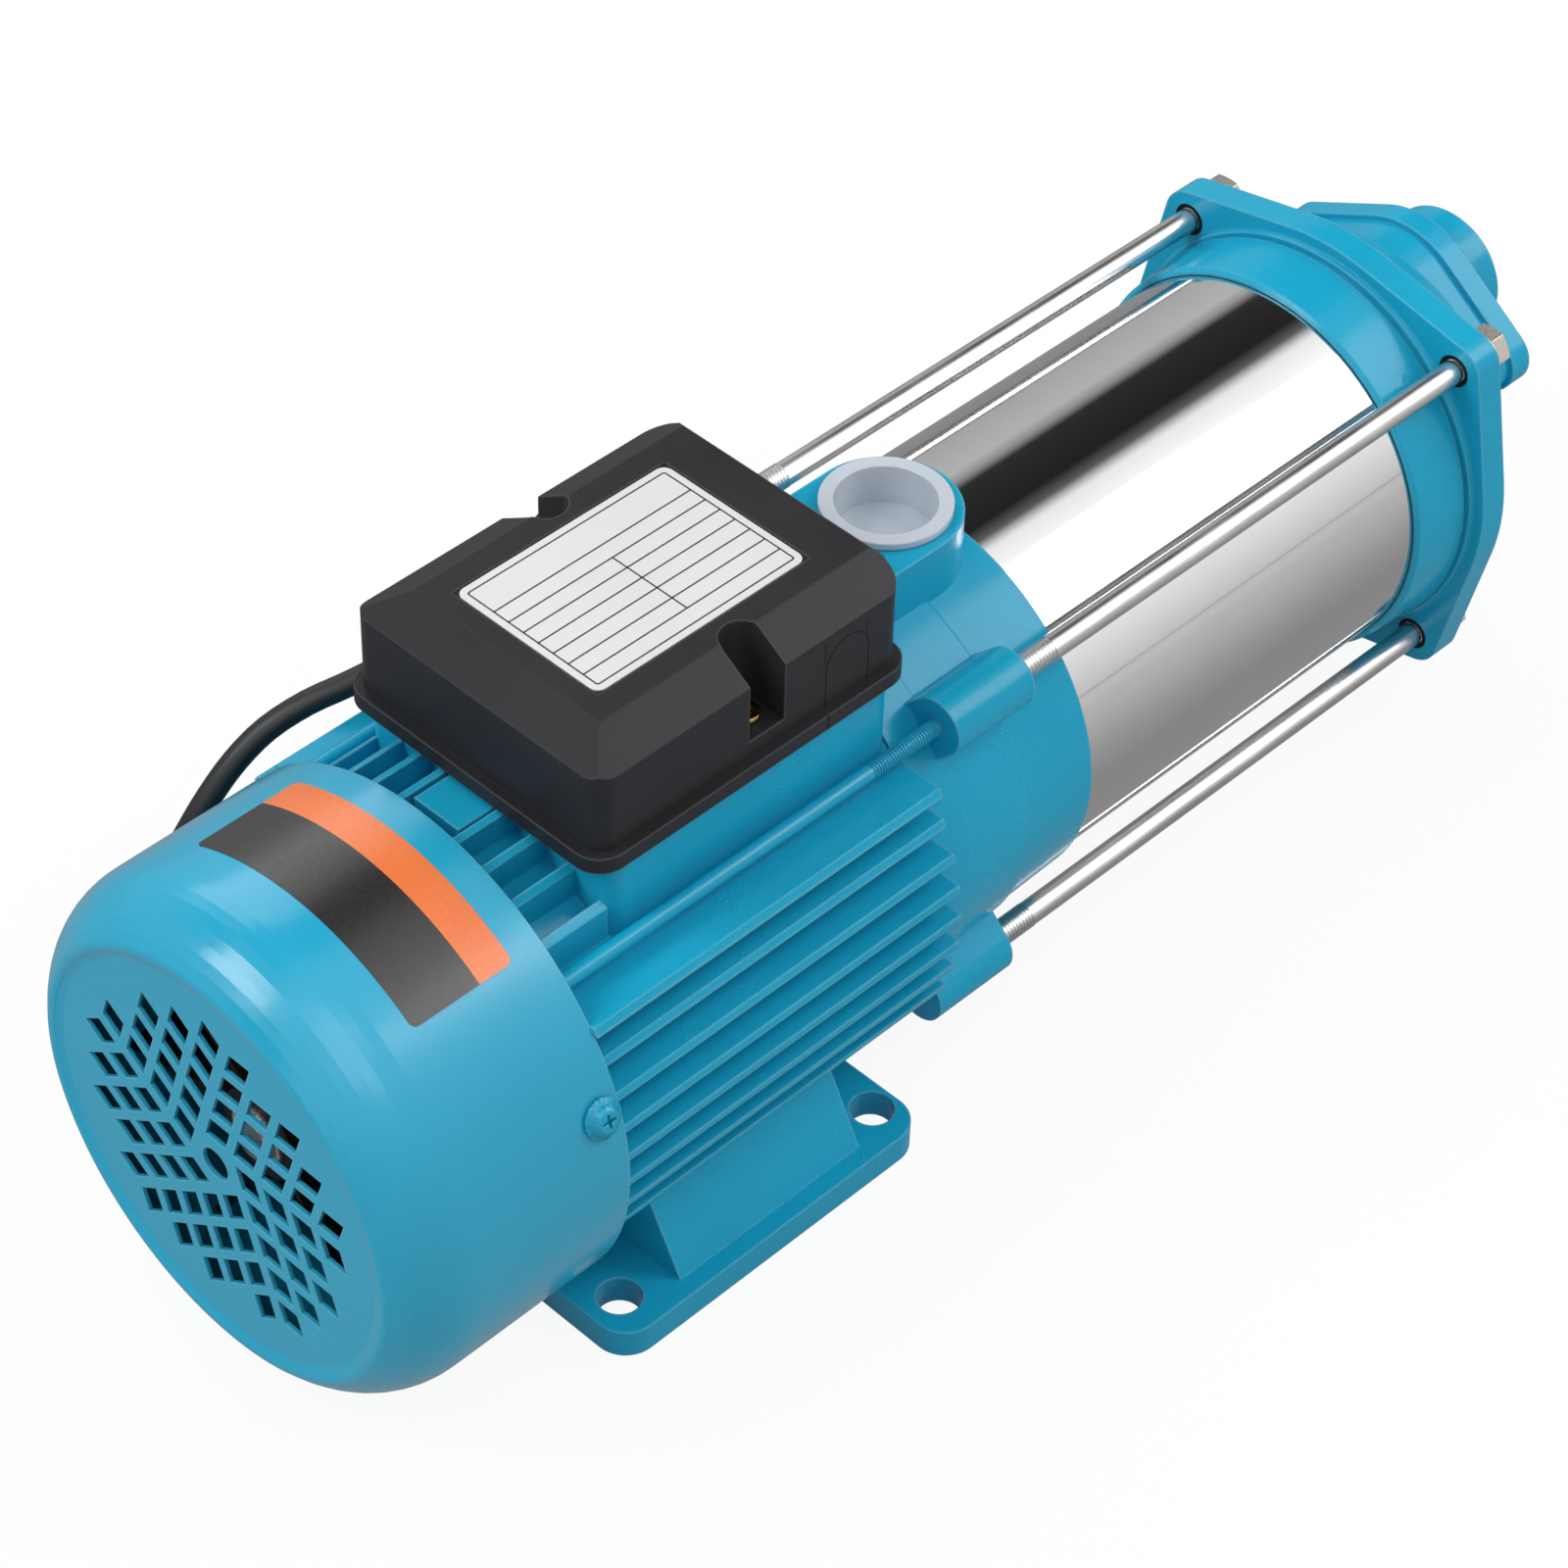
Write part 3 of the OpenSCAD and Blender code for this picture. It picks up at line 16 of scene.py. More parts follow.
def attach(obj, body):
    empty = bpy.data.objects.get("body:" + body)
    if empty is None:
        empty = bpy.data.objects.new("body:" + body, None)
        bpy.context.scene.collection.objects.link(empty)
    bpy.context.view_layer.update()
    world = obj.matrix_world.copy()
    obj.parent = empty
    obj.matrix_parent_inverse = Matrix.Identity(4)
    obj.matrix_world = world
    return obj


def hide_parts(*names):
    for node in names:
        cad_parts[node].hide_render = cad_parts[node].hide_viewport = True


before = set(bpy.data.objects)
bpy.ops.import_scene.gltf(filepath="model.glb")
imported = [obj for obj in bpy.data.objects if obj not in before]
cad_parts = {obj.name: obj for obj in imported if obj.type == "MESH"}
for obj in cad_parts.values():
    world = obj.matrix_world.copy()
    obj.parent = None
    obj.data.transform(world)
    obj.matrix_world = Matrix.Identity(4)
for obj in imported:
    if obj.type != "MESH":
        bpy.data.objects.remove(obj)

LOG = logging.getLogger("pump")
MM = 0.001
MERGE = 1e-6
SHAFT_H = 0.080
ALONG = (1, 0, 0)
CASING = "casing"

Point = tuple[float, float, float]
Colour = tuple[float, float, float]
Span = tuple[float, float]
Piece = bpy.types.Object
Socket = bpy.types.NodeSocket


def deselect() -> None:
    """Leave object mode with nothing selected."""
    if bpy.context.object and bpy.context.object.mode != "OBJECT":
        bpy.ops.object.mode_set(mode="OBJECT")
    bpy.ops.object.select_all(action="DESELECT")


def pick(obj: Piece) -> None:
    """Make one object the only selected and active one.

    Args:
        obj: The object to work on.
    """
    deselect()
    obj.select_set(True)
    bpy.context.view_layer.objects.active = obj


def settle(obj: Piece, name: str) -> Piece:
    """Name a new object and bring its place, turn and scale into its mesh.

    Args:
        obj: The object that an operator has just made.
        name: The piece's name.

    Returns:
        The same object, at the origin.
    """
    pick(obj)
    bpy.ops.object.transform_apply(location=True, rotation=True, scale=True)
    obj.name = name
    obj.data.name = name
    return obj


def join(name: str, parts: list[Piece]) -> Piece:
    """Join several meshes to one piece.

    Args:
        name: The piece's name.
        parts: Mesh objects at the origin.

    Returns:
        The joined object.
    """
    pick(parts[0])
    for part in parts[1:]:
        part.select_set(True)
    if len(parts) > 1:
        bpy.ops.object.join()
    obj = bpy.context.object
    obj.name = name
    obj.data.name = name
    return obj


def combine(obj: Piece, operation: str, tool: Piece) -> None:
    """Change a mesh by a boolean with a second one, and remove the second.

    Args:
        obj: The object to change.
        operation: "UNION", "DIFFERENCE" or "INTERSECT".
        tool: The other object.
    """
    pick(obj)
    modifier = obj.modifiers.new("boolean", "BOOLEAN")
    modifier.operation = operation
    modifier.object = tool
    modifier.solver = "EXACT"
    bpy.ops.object.modifier_apply(modifier=modifier.name)
    bpy.data.objects.remove(tool)


@contextmanager
def editing(obj: Piece) -> Iterator[None]:
    """Edit one mesh, with everything in it selected at the start.

    Args:
        obj: The mesh object.
    """
    pick(obj)
    bpy.ops.object.mode_set(mode="EDIT")
    bpy.ops.mesh.select_all(action="SELECT")
    yield
    bpy.ops.object.mode_set(mode="OBJECT")


def box(name: str, low: Point, high: Point) -> Piece:
    """Make a box between two corners as the start of a piece.

    Args:
        name: The piece's name.
        low: Lowest corner in metres.
        high: Highest corner in metres.

    Returns:
        The box, with its place in its mesh.
    """
    deselect()
    middle = [(a + b) / 2 for a, b in zip(low, high)]
    bpy.ops.mesh.primitive_cube_add(size=1, location=middle)
    obj = bpy.context.object
    obj.scale = [b - a for a, b in zip(low, high)]
    return settle(obj, name)


def turned(name: str, outline: list[Span], centre: Point, axis: Point, steps: int) -> Piece:
    """Turn an outline of (radius, along) points about an axis line.

    Args:
        name: The piece's name.
        outline: Points as distance from the axis and distance along it.
        centre: A point on the axis, where along is zero.
        axis: The axis direction.
        steps: Number of steps in the full turn.

    Returns:
        The turned object with its normals outside.
    """
    line = Vector(axis).normalized()
    side = line.orthogonal().normalized()
    points = [Vector(centre) + side * r + line * t for r, t in outline]
    mesh = bpy.data.meshes.new(name)
    mesh.from_pydata(points, [(i, i + 1) for i in range(len(points) - 1)], [])
    obj = bpy.data.objects.new(name, mesh)
    bpy.context.scene.collection.objects.link(obj)
    with editing(obj):
        bpy.ops.mesh.spin(steps=steps, angle=2 * math.pi, center=centre, axis=line)
        bpy.ops.mesh.select_all(action="SELECT")
        bpy.ops.mesh.remove_doubles(threshold=MERGE)
        bpy.ops.mesh.normals_make_consistent(inside=False)
    return obj


def ring_section(r0: float, r1: float, t0: float, t1: float) -> list[Span]:
    """Outline of a ring between two radii and two places along its axis."""
    return [(r0, t0), (r1, t0), (r1, t1), (r0, t1), (r0, t0)]


def round_edges(obj: Piece, width: float, segments: int,
                wanted: Callable[[Vector, Vector], bool]) -> None:
    """Round chosen edges of a mesh.

    Args:
        obj: The mesh object.
        width: Width of the rounding.
        segments: Steps across the rounding.
        wanted: Tells from an edge's two ends whether it is rounded.
    """
    with editing(obj):
        bpy.ops.mesh.select_mode(type="EDGE")
        bpy.ops.mesh.select_all(action="DESELECT")
    for edge in obj.data.edges:
        a, b = (obj.data.vertices[i].co for i in edge.vertices)
        edge.select = wanted(a, b)
    bpy.ops.object.mode_set(mode="EDIT")
    bpy.ops.mesh.bevel(offset=width, segments=segments, affect="EDGES")
    bpy.ops.object.mode_set(mode="OBJECT")


def smooth(obj: Piece, angle: float = 32.0) -> None:
    """Shade a mesh smooth, apart from edges sharper than this many degrees."""
    pick(obj)
    bpy.ops.object.shade_smooth_by_angle(angle=math.radians(angle))


@dataclass(frozen=True)
class Tree:
    """The nodes of a material or of the world, with short ways to add and link them."""

    nodes: bpy.types.Nodes
    links: bpy.types.NodeLinks

    def feed(self, node: bpy.types.Node, feeds: dict[str | int, object]) -> None:
        """Link sockets to a node's inputs, or set the inputs' values.

        Args:
            node: The node to feed.
            feeds: A socket or a value for each input's name or number.
        """
        for key, value in feeds.items():
            if isinstance(value, Socket):
                self.links.new(value, node.inputs[key])
            else:
                node.inputs[key].default_value = value

    def add(self, kind: str, feeds: dict[str | int, object] | None = None,
            **settings: object) -> bpy.types.Node:
        """Add a shader node.

        Args:
            kind: The node's type without its leading ShaderNode.
            feeds: A socket or a value for each input's name or number.
            settings: Attributes of the node.

        Returns:
            The node.
        """
        node = self.nodes.new(f"ShaderNode{kind}")
        for key, value in settings.items():
            setattr(node, key, value)
        self.feed(node, feeds or {})
        return node

    def noise(self, place: Socket, scale: float, detail: float) -> Socket:
        """Add a noise with so many cells per metre and octaves, and give its factor's socket."""
        return self.add("TexNoise", {"Vector": place, "Scale": scale, "Detail": detail}).outputs["Fac"]

    def calc(self, operation: str, *values: Socket | float) -> Socket:
        """Add a math node and give the socket of its result."""
        return self.add("Math", dict(enumerate(values)), operation=operation).outputs[0]

    def remap(self, value: Socket, low: float, high: float, to_low: float = 0.0,
              to_high: float = 1.0, **settings: object) -> Socket:
        """Map the range from low to high onto the other one, hold the value inside and give it."""
        return self.add("MapRange", {"Value": value, "From Min": low, "From Max": high,
                                     "To Min": to_low, "To Max": to_high}, **settings).outputs["Result"]

    def ramp(self, place: Socket, stops: list[tuple[float, Colour]]) -> Socket:
        """Add a colour ramp.

        Args:
            place: Socket of the place on the ramp, from 0 to 1.
            stops: Places and colours.

        Returns:
            Socket of the colour.
        """
        node = self.add("ValToRGB", {"Fac": place})
        elements = node.color_ramp.elements
        while len(elements) < len(stops):
            elements.new(0.5)
        for element, (at, _) in zip(elements, stops):
            element.position = at
        for element, (_, colour) in zip(elements, stops):
            element.color = (*colour, 1.0)
        return node.outputs["Color"]

    def mix(self, share: Socket, first: Socket, second: Socket) -> Socket:
        """Mix two shaders by the second one's share and give the result's socket."""
        return self.add("MixShader", {0: share, 1: first, 2: second}).outputs[0]


class Pattern(Enum):
    """How a surface's fine texture runs."""

    GRAIN = "grain"
    BRUSHED_ALONG = "brushed along the shaft"
    BRUSHED_ROUND = "brushed round the shaft"


@dataclass(frozen=True)
class Finish:
    """One surface finish, built as a node material on Object coordinates."""

    name: str
    colour: Colour
    colour_deep: Colour
    roughness: float = 0.4
    roughness_spread: float = 0.08
    roughness_least: float = 0.02
    roughness_span: Span = (0.1, 0.45)
    metallic: float = 0.0
    coat: float = 0.0
    coat_roughness: float = 0.27
    specular: float = 0.5
    patch_scale: float = 30.0
    grain_scale: float = 900.0
    grain_share: float = 0.35
    blend_span: Span = (0.4, 0.95)
    grain_height: float = 0.02
    ripple_scale: float = 160.0
    ripple_height: float = 0.0
    pattern: Pattern = Pattern.GRAIN
    edge_radius: float = 0.0006
    # Lighter colour painted on convex edges as a highlight, and how far in and how strongly it reaches.
    painted_edge_highlight: Colour | None = None
    edge_reach: float = 0.0007
    edge_share: float = 0.8
    edge_open: Span = (0.92, 0.5)
    lumps: float = 0.0
    lump_scale: float = 380.0
    lump_span: Span = (0.3, 0.05)
    lump_area_scale: float = 34.0
    lump_area: Span = (0.54, 0.7)
    milky: float = 0.0
    milky_depth: float = 0.002

    def build(self) -> bpy.types.Material:
        """Make the material.

        Returns:
            The node material of this finish.
        """
        mat = bpy.data.materials.new(self.name)
        mat.use_nodes = True
        tree = Tree(mat.node_tree.nodes, mat.node_tree.links)
        shader = tree.nodes["Principled BSDF"]
        tree.feed(shader, {"Metallic": self.metallic, "Coat Weight": self.coat,
                           "Coat Roughness": self.coat_roughness,
                           "Specular IOR Level": self.specular})
        if self.milky:
            tree.feed(shader, {"Subsurface Weight": self.milky, "Subsurface Radius": (1.0, 1.0, 1.0),
                               "Subsurface Scale": self.milky_depth})
        place = tree.add("TexCoord").outputs["Object"]
        stretch = tree.add("Mapping", {"Vector": place, "Scale": {
            Pattern.GRAIN: (1.0, 1.0, 1.0),
            Pattern.BRUSHED_ALONG: (0.02, 1.0, 1.0),
            Pattern.BRUSHED_ROUND: (1.0, 0.03, 0.03),
        }[self.pattern]})
        patches = tree.noise(place, self.patch_scale, 3.0)
        grain = tree.noise(stretch.outputs["Vector"], self.grain_scale, 2.0)
        tree.feed(shader, {"Base Color": self.colour_nodes(tree, patches, grain),
                           "Roughness": self.rough_nodes(tree, patches, grain),
                           **self.normal_nodes(tree, place, grain)})
        return mat

    def colour_nodes(self, tree: Tree, patches: Socket, grain: Socket) -> Socket:
        """Blend the finish's two colours, and paint a lighter highlight on the outer edges, where paint
        would catch light.

        Args:
            tree: The material's nodes.
            patches: Socket of the broad noise.
            grain: Socket of the fine noise.

        Returns:
            Socket of the colour.
        """
        blend = tree.calc("MULTIPLY_ADD", grain, self.grain_share, patches)
        colour = tree.ramp(blend, list(zip(self.blend_span, (self.colour_deep, self.colour))))
        if not self.painted_edge_highlight:
            return colour
        # Painted highlight: a short inside occlusion finds the convex edges, and there the colour is
        # mixed toward a lighter one.
        thin = tree.add("AmbientOcclusion", {"Distance": self.edge_reach}, inside=True,
                        only_local=True, samples=4)
        edge_highlight_mask = tree.remap(thin.outputs["AO"], *self.edge_open, to_high=self.edge_share)
        return tree.add("Mix", {"Factor": edge_highlight_mask, 6: colour, 7: (*self.painted_edge_highlight, 1.0)},
                        data_type="RGBA").outputs[2]

    def rough_nodes(self, tree: Tree, patches: Socket, grain: Socket) -> Socket:
        """Vary the roughness with the grain and the patches.

        Args:
            tree: The material's nodes.
            patches: Socket of the broad noise.
            grain: Socket of the fine noise.

        Returns:
            Socket of the roughness.
        """
        return tree.remap(tree.calc("MULTIPLY", grain, patches), *self.roughness_span,
                          max(self.roughness_least, self.roughness - self.roughness_spread),
                          self.roughness + self.roughness_spread)

    def normal_nodes(self, tree: Tree, place: Socket, grain: Socket) -> dict[str, Socket]:
        """Round the edges a little and add the ripple, the lumps and the grain as bumps.

        Args:
            tree: The material's nodes.
            place: Socket of the coordinates.
            grain: Socket of the fine noise.

        Returns:
            What to feed to a Normal input, empty if the finish has no normal of its own.
        """
        normal = {}
        if self.edge_radius:
            bevel = tree.add("Bevel", {"Radius": self.edge_radius}, samples=4)
            normal = {"Normal": bevel.outputs["Normal"]}
        heights = []
        if self.ripple_height:
            heights.append((tree.noise(place, self.ripple_scale, 1.0), self.ripple_height))
        if self.lumps:
            heights.append((self.lump_nodes(tree, place), self.lumps))
        if self.grain_height:
            heights.append((grain, self.grain_height))
        for height, strength in heights:
            bump = tree.add("Bump", {"Strength": strength, "Distance": MM, "Height": height, **normal})
            normal = {"Normal": bump.outputs["Normal"]}
        return normal

    def lump_nodes(self, tree: Tree, place: Socket) -> Socket:
        """Scatter small casting lumps where a slow noise allows them.

        Args:
            tree: The material's nodes.
            place: Socket of the coordinates.

        Returns:
            Socket of the lumps' height.
        """
        cells = tree.add("TexVoronoi", {"Vector": place, "Scale": self.lump_scale})
        dots = tree.remap(cells.outputs["Distance"], *self.lump_span,
                          interpolation_type="SMOOTHSTEP")
        area = tree.remap(tree.noise(place, self.lump_area_scale, 2.0), *self.lump_area)
        return tree.calc("MULTIPLY", dots, area)


@dataclass
class Palette:
    """Every finish of the pump and the materials made from them."""

    made: dict[str, bpy.types.Material] = field(default_factory=dict)
    finishes: tuple[Finish, ...] = (
        # The paints and the box plastic carry a painted highlight: a lighter colour mixed onto their
        # convex edges.
        Finish("cast_paint", (0.012, 0.395, 0.61), (0.010, 0.345, 0.55), roughness=0.22,
               specular=0.24, patch_scale=18.0, ripple_scale=120.0, ripple_height=0.08,
               grain_height=0.0, lumps=0.3, edge_radius=0.0009, painted_edge_highlight=(0.17, 0.56, 0.75)),
        Finish("sheet_paint", (0.014, 0.395, 0.61), (0.012, 0.365, 0.575), roughness=0.2,
               specular=0.4, coat=0.4, patch_scale=14.0, ripple_scale=420.0, ripple_height=0.035,
               grain_height=0.0, painted_edge_highlight=(0.20, 0.60, 0.78), edge_reach=0.0005, edge_share=0.6),
        Finish("screw_paint", (0.005, 0.38, 0.59), (0.004, 0.33, 0.53), roughness=0.24, specular=0.4,
               grain_height=0.0, edge_radius=0.0002, painted_edge_highlight=(0.17, 0.56, 0.75),
               edge_reach=0.0003, edge_share=0.6),
        Finish("box_plastic", (0.028, 0.028, 0.031), (0.021, 0.021, 0.024), roughness=0.38,
               specular=0.16, grain_scale=2600.0, grain_height=0.05, roughness_spread=0.04,
               edge_radius=0.0008, painted_edge_highlight=(0.13, 0.13, 0.14), edge_reach=0.0006,
               edge_share=0.6),
        # Black for the lid's scribed grooves, and for the painted shade rings at the rod holes.
        Finish("groove_and_hole_shade_black", (0.006, 0.006, 0.007), (0.003, 0.003, 0.004), roughness=0.6,
               specular=0.2, edge_radius=0.0),
        Finish("fan_plastic", (0.012, 0.013, 0.015), (0.008, 0.009, 0.010), roughness=0.5),
        Finish("barrel_steel", (0.80, 0.80, 0.80), (0.77, 0.77, 0.78), roughness=0.07, metallic=1.0,
               roughness_spread=0.015, grain_scale=1500.0, grain_height=0.003,
               pattern=Pattern.BRUSHED_ROUND, edge_radius=0.0),
        Finish("rod_steel", (0.78, 0.77, 0.76), (0.64, 0.63, 0.62), roughness=0.32, metallic=1.0,
               grain_scale=1800.0, grain_height=0.04, pattern=Pattern.BRUSHED_ALONG,
               edge_radius=0.0),
        Finish("nut_nickel", (0.74, 0.69, 0.62), (0.62, 0.57, 0.51), roughness=0.26, metallic=0.65,
               grain_height=0.03, edge_radius=0.0004),
        Finish("ground_steel", (0.6, 0.6, 0.6), (0.5, 0.5, 0.51), roughness=0.25, metallic=1.0,
               grain_scale=1500.0, grain_height=0.03, pattern=Pattern.BRUSHED_ROUND),
        Finish("core_sheet", (0.16, 0.16, 0.17), (0.08, 0.08, 0.085), roughness=0.5, metallic=0.8,
               grain_scale=1600.0, grain_height=0.2, pattern=Pattern.BRUSHED_ROUND),
        Finish("copper_wire", (0.46, 0.16, 0.055), (0.3, 0.09, 0.03), roughness=0.35, metallic=0.7,
               grain_scale=1100.0, grain_height=0.3),
        Finish("raw_aluminium", (0.6, 0.6, 0.61), (0.48, 0.48, 0.5), roughness=0.45, metallic=1.0),
        Finish("stage_resin", (0.7, 0.66, 0.55), (0.62, 0.58, 0.47), roughness=0.45),
        Finish("grey_resin", (0.55, 0.55, 0.52), (0.47, 0.47, 0.45), roughness=0.5),
        Finish("seal_ceramic", (0.72, 0.7, 0.65), (0.66, 0.64, 0.6), roughness=0.25),
        Finish("rubber", (0.016, 0.016, 0.017), (0.01, 0.01, 0.011), roughness=0.58,
               grain_scale=2400.0, grain_height=0.08),
        Finish("cord_rubber", (0.018, 0.018, 0.019), (0.012, 0.012, 0.013), roughness=0.46,
               grain_scale=1900.0, grain_height=0.05, edge_radius=0.0),
        Finish("screw_brass", (0.62, 0.40, 0.13), (0.46, 0.28, 0.08), roughness=0.25, metallic=1.0),
        Finish("cap_plastic", (0.58, 0.63, 0.69), (0.53, 0.58, 0.65), roughness=0.22, milky=0.35,
               roughness_spread=0.04, grain_height=0.0),
        Finish("plate_white", (0.72, 0.72, 0.71), (0.68, 0.68, 0.67), roughness=0.35, coat=0.3,
               edge_radius=0.0),
        Finish("plate_ink", (0.012, 0.012, 0.013), (0.008, 0.008, 0.009), edge_radius=0.0),
        Finish("sticker_orange", (0.88, 0.205, 0.045), (0.82, 0.175, 0.035), roughness=0.32, coat=0.4,
               edge_radius=0.0),
        Finish("sticker_charcoal", (0.019, 0.017, 0.018), (0.013, 0.012, 0.013), roughness=0.32,
               coat=0.4, edge_radius=0.0),
    )

    def get(self, name: str) -> bpy.types.Material:
        """Give the material of a finish, made on first use."""
        if name not in self.made:
            self.made[name] = next(f for f in self.finishes if f.name == name).build()
        return self.made[name]

    def dress(self, obj: Piece, name: str) -> None:
        """Put one finish on the whole of an object.

        Args:
            obj: The piece or CAD node.
            name: The finish.
        """
        if not obj.material_slots:
            obj.data.materials.append(self.get(name))
        for slot in obj.material_slots:
            slot.material = self.get(name)

    def fit(self, piece: Piece, finish: str, slot: str, *nodes: str) -> None:
        """Dress a new piece, put it on the casing and hide the CAD nodes that it stands for.

        Args:
            piece: The new piece.
            finish: Its finish.
            slot: The record's material slot; not used.
            nodes: CAD nodes that it replaces.
        """
        self.dress(piece, finish)
        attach(piece, CASING)
        if nodes:
            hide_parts(*nodes)
        LOG.info("%s: %d faces", piece.name, len(piece.data.polygons))


@dataclass
class Group:
    """Pieces that are made and dressed together."""

    palette: Palette


NODE_FINISHES = {
    "cast_paint": ["motor_frame", "motor_foot", "rear_shield", "pump_bracket", "suction_cover",
                   "suction_port"],
    "sheet_paint": ["fan_cover"],
    "screw_paint": ["fan_cover_screws"],
    "rod_steel": ["plug_pins"],
    "nut_nickel": ["tie_rod_washers", "box_base_screws", "fan_clip"],
    "ground_steel": ["impeller_spacers", "impeller_nut", "motor_shaft", "bearing_outer_rings",
                     "bearing_inner_rings", "bearing_balls", "wave_washer"],
    "core_sheet": ["stator_core", "rotor_core"],
    "copper_wire": ["stator_winding"],
    "raw_aluminium": ["rotor_cage"],
    "fan_plastic": ["cooling_fan"],
    "box_plastic": ["terminal_box_base", "terminal_box_lid"],
    "rubber": ["barrel_seals", "terminal_box_gasket", "cord_grommet", "plug_body", "drain_seal",
               "seal_head"],
    "stage_resin": ["inlet_plate", *(f"{kind}_{i}" for kind in ("stage_housing", "impeller")
                                     for i in range(1, 7))],
    "seal_ceramic": ["seal_seat"],
    "grey_resin": ["terminal_block", "run_capacitor"],
    "screw_brass": ["box_lid_screws", "drain_plug"],
    "cap_plastic": ["outlet_cap", "inlet_cap"],
}


@dataclass
class PhotoCamera:
    """Camera at the photograph's viewing angle."""

    place: Point = (-0.619455, -0.652132, 0.977117)
    azimuth: float = -46.8095
    elevation: float = 43.3456
    roll: float = 2.0039
    lens: float = 105.5917
    sensor: float = 36.0

    def build(self) -> None:
        """Create the camera and make it the scene's own."""
        a, e, r = (math.radians(v) for v in (self.azimuth, self.elevation, self.roll))
        back = Vector((math.sin(a) * math.cos(e), -math.cos(a) * math.cos(e), math.sin(e)))
        level = (-back).cross(Vector((0, 0, 1))).normalized()
        above = level.cross(-back)
        right = math.cos(r) * level + math.sin(r) * above
        up = -math.sin(r) * level + math.cos(r) * above
        data = bpy.data.cameras.new("photo_camera")
        data.lens = self.lens
        data.sensor_width = self.sensor
        data.clip_start = 0.05
        data.clip_end = 30.0
        obj = bpy.data.objects.new("photo_camera", data)
        bpy.context.scene.collection.objects.link(obj)
        turn = Matrix((right, up, back)).transposed().to_4x4()
        obj.matrix_world = Matrix.Translation(Vector(self.place)) @ turn
        bpy.context.scene.camera = obj


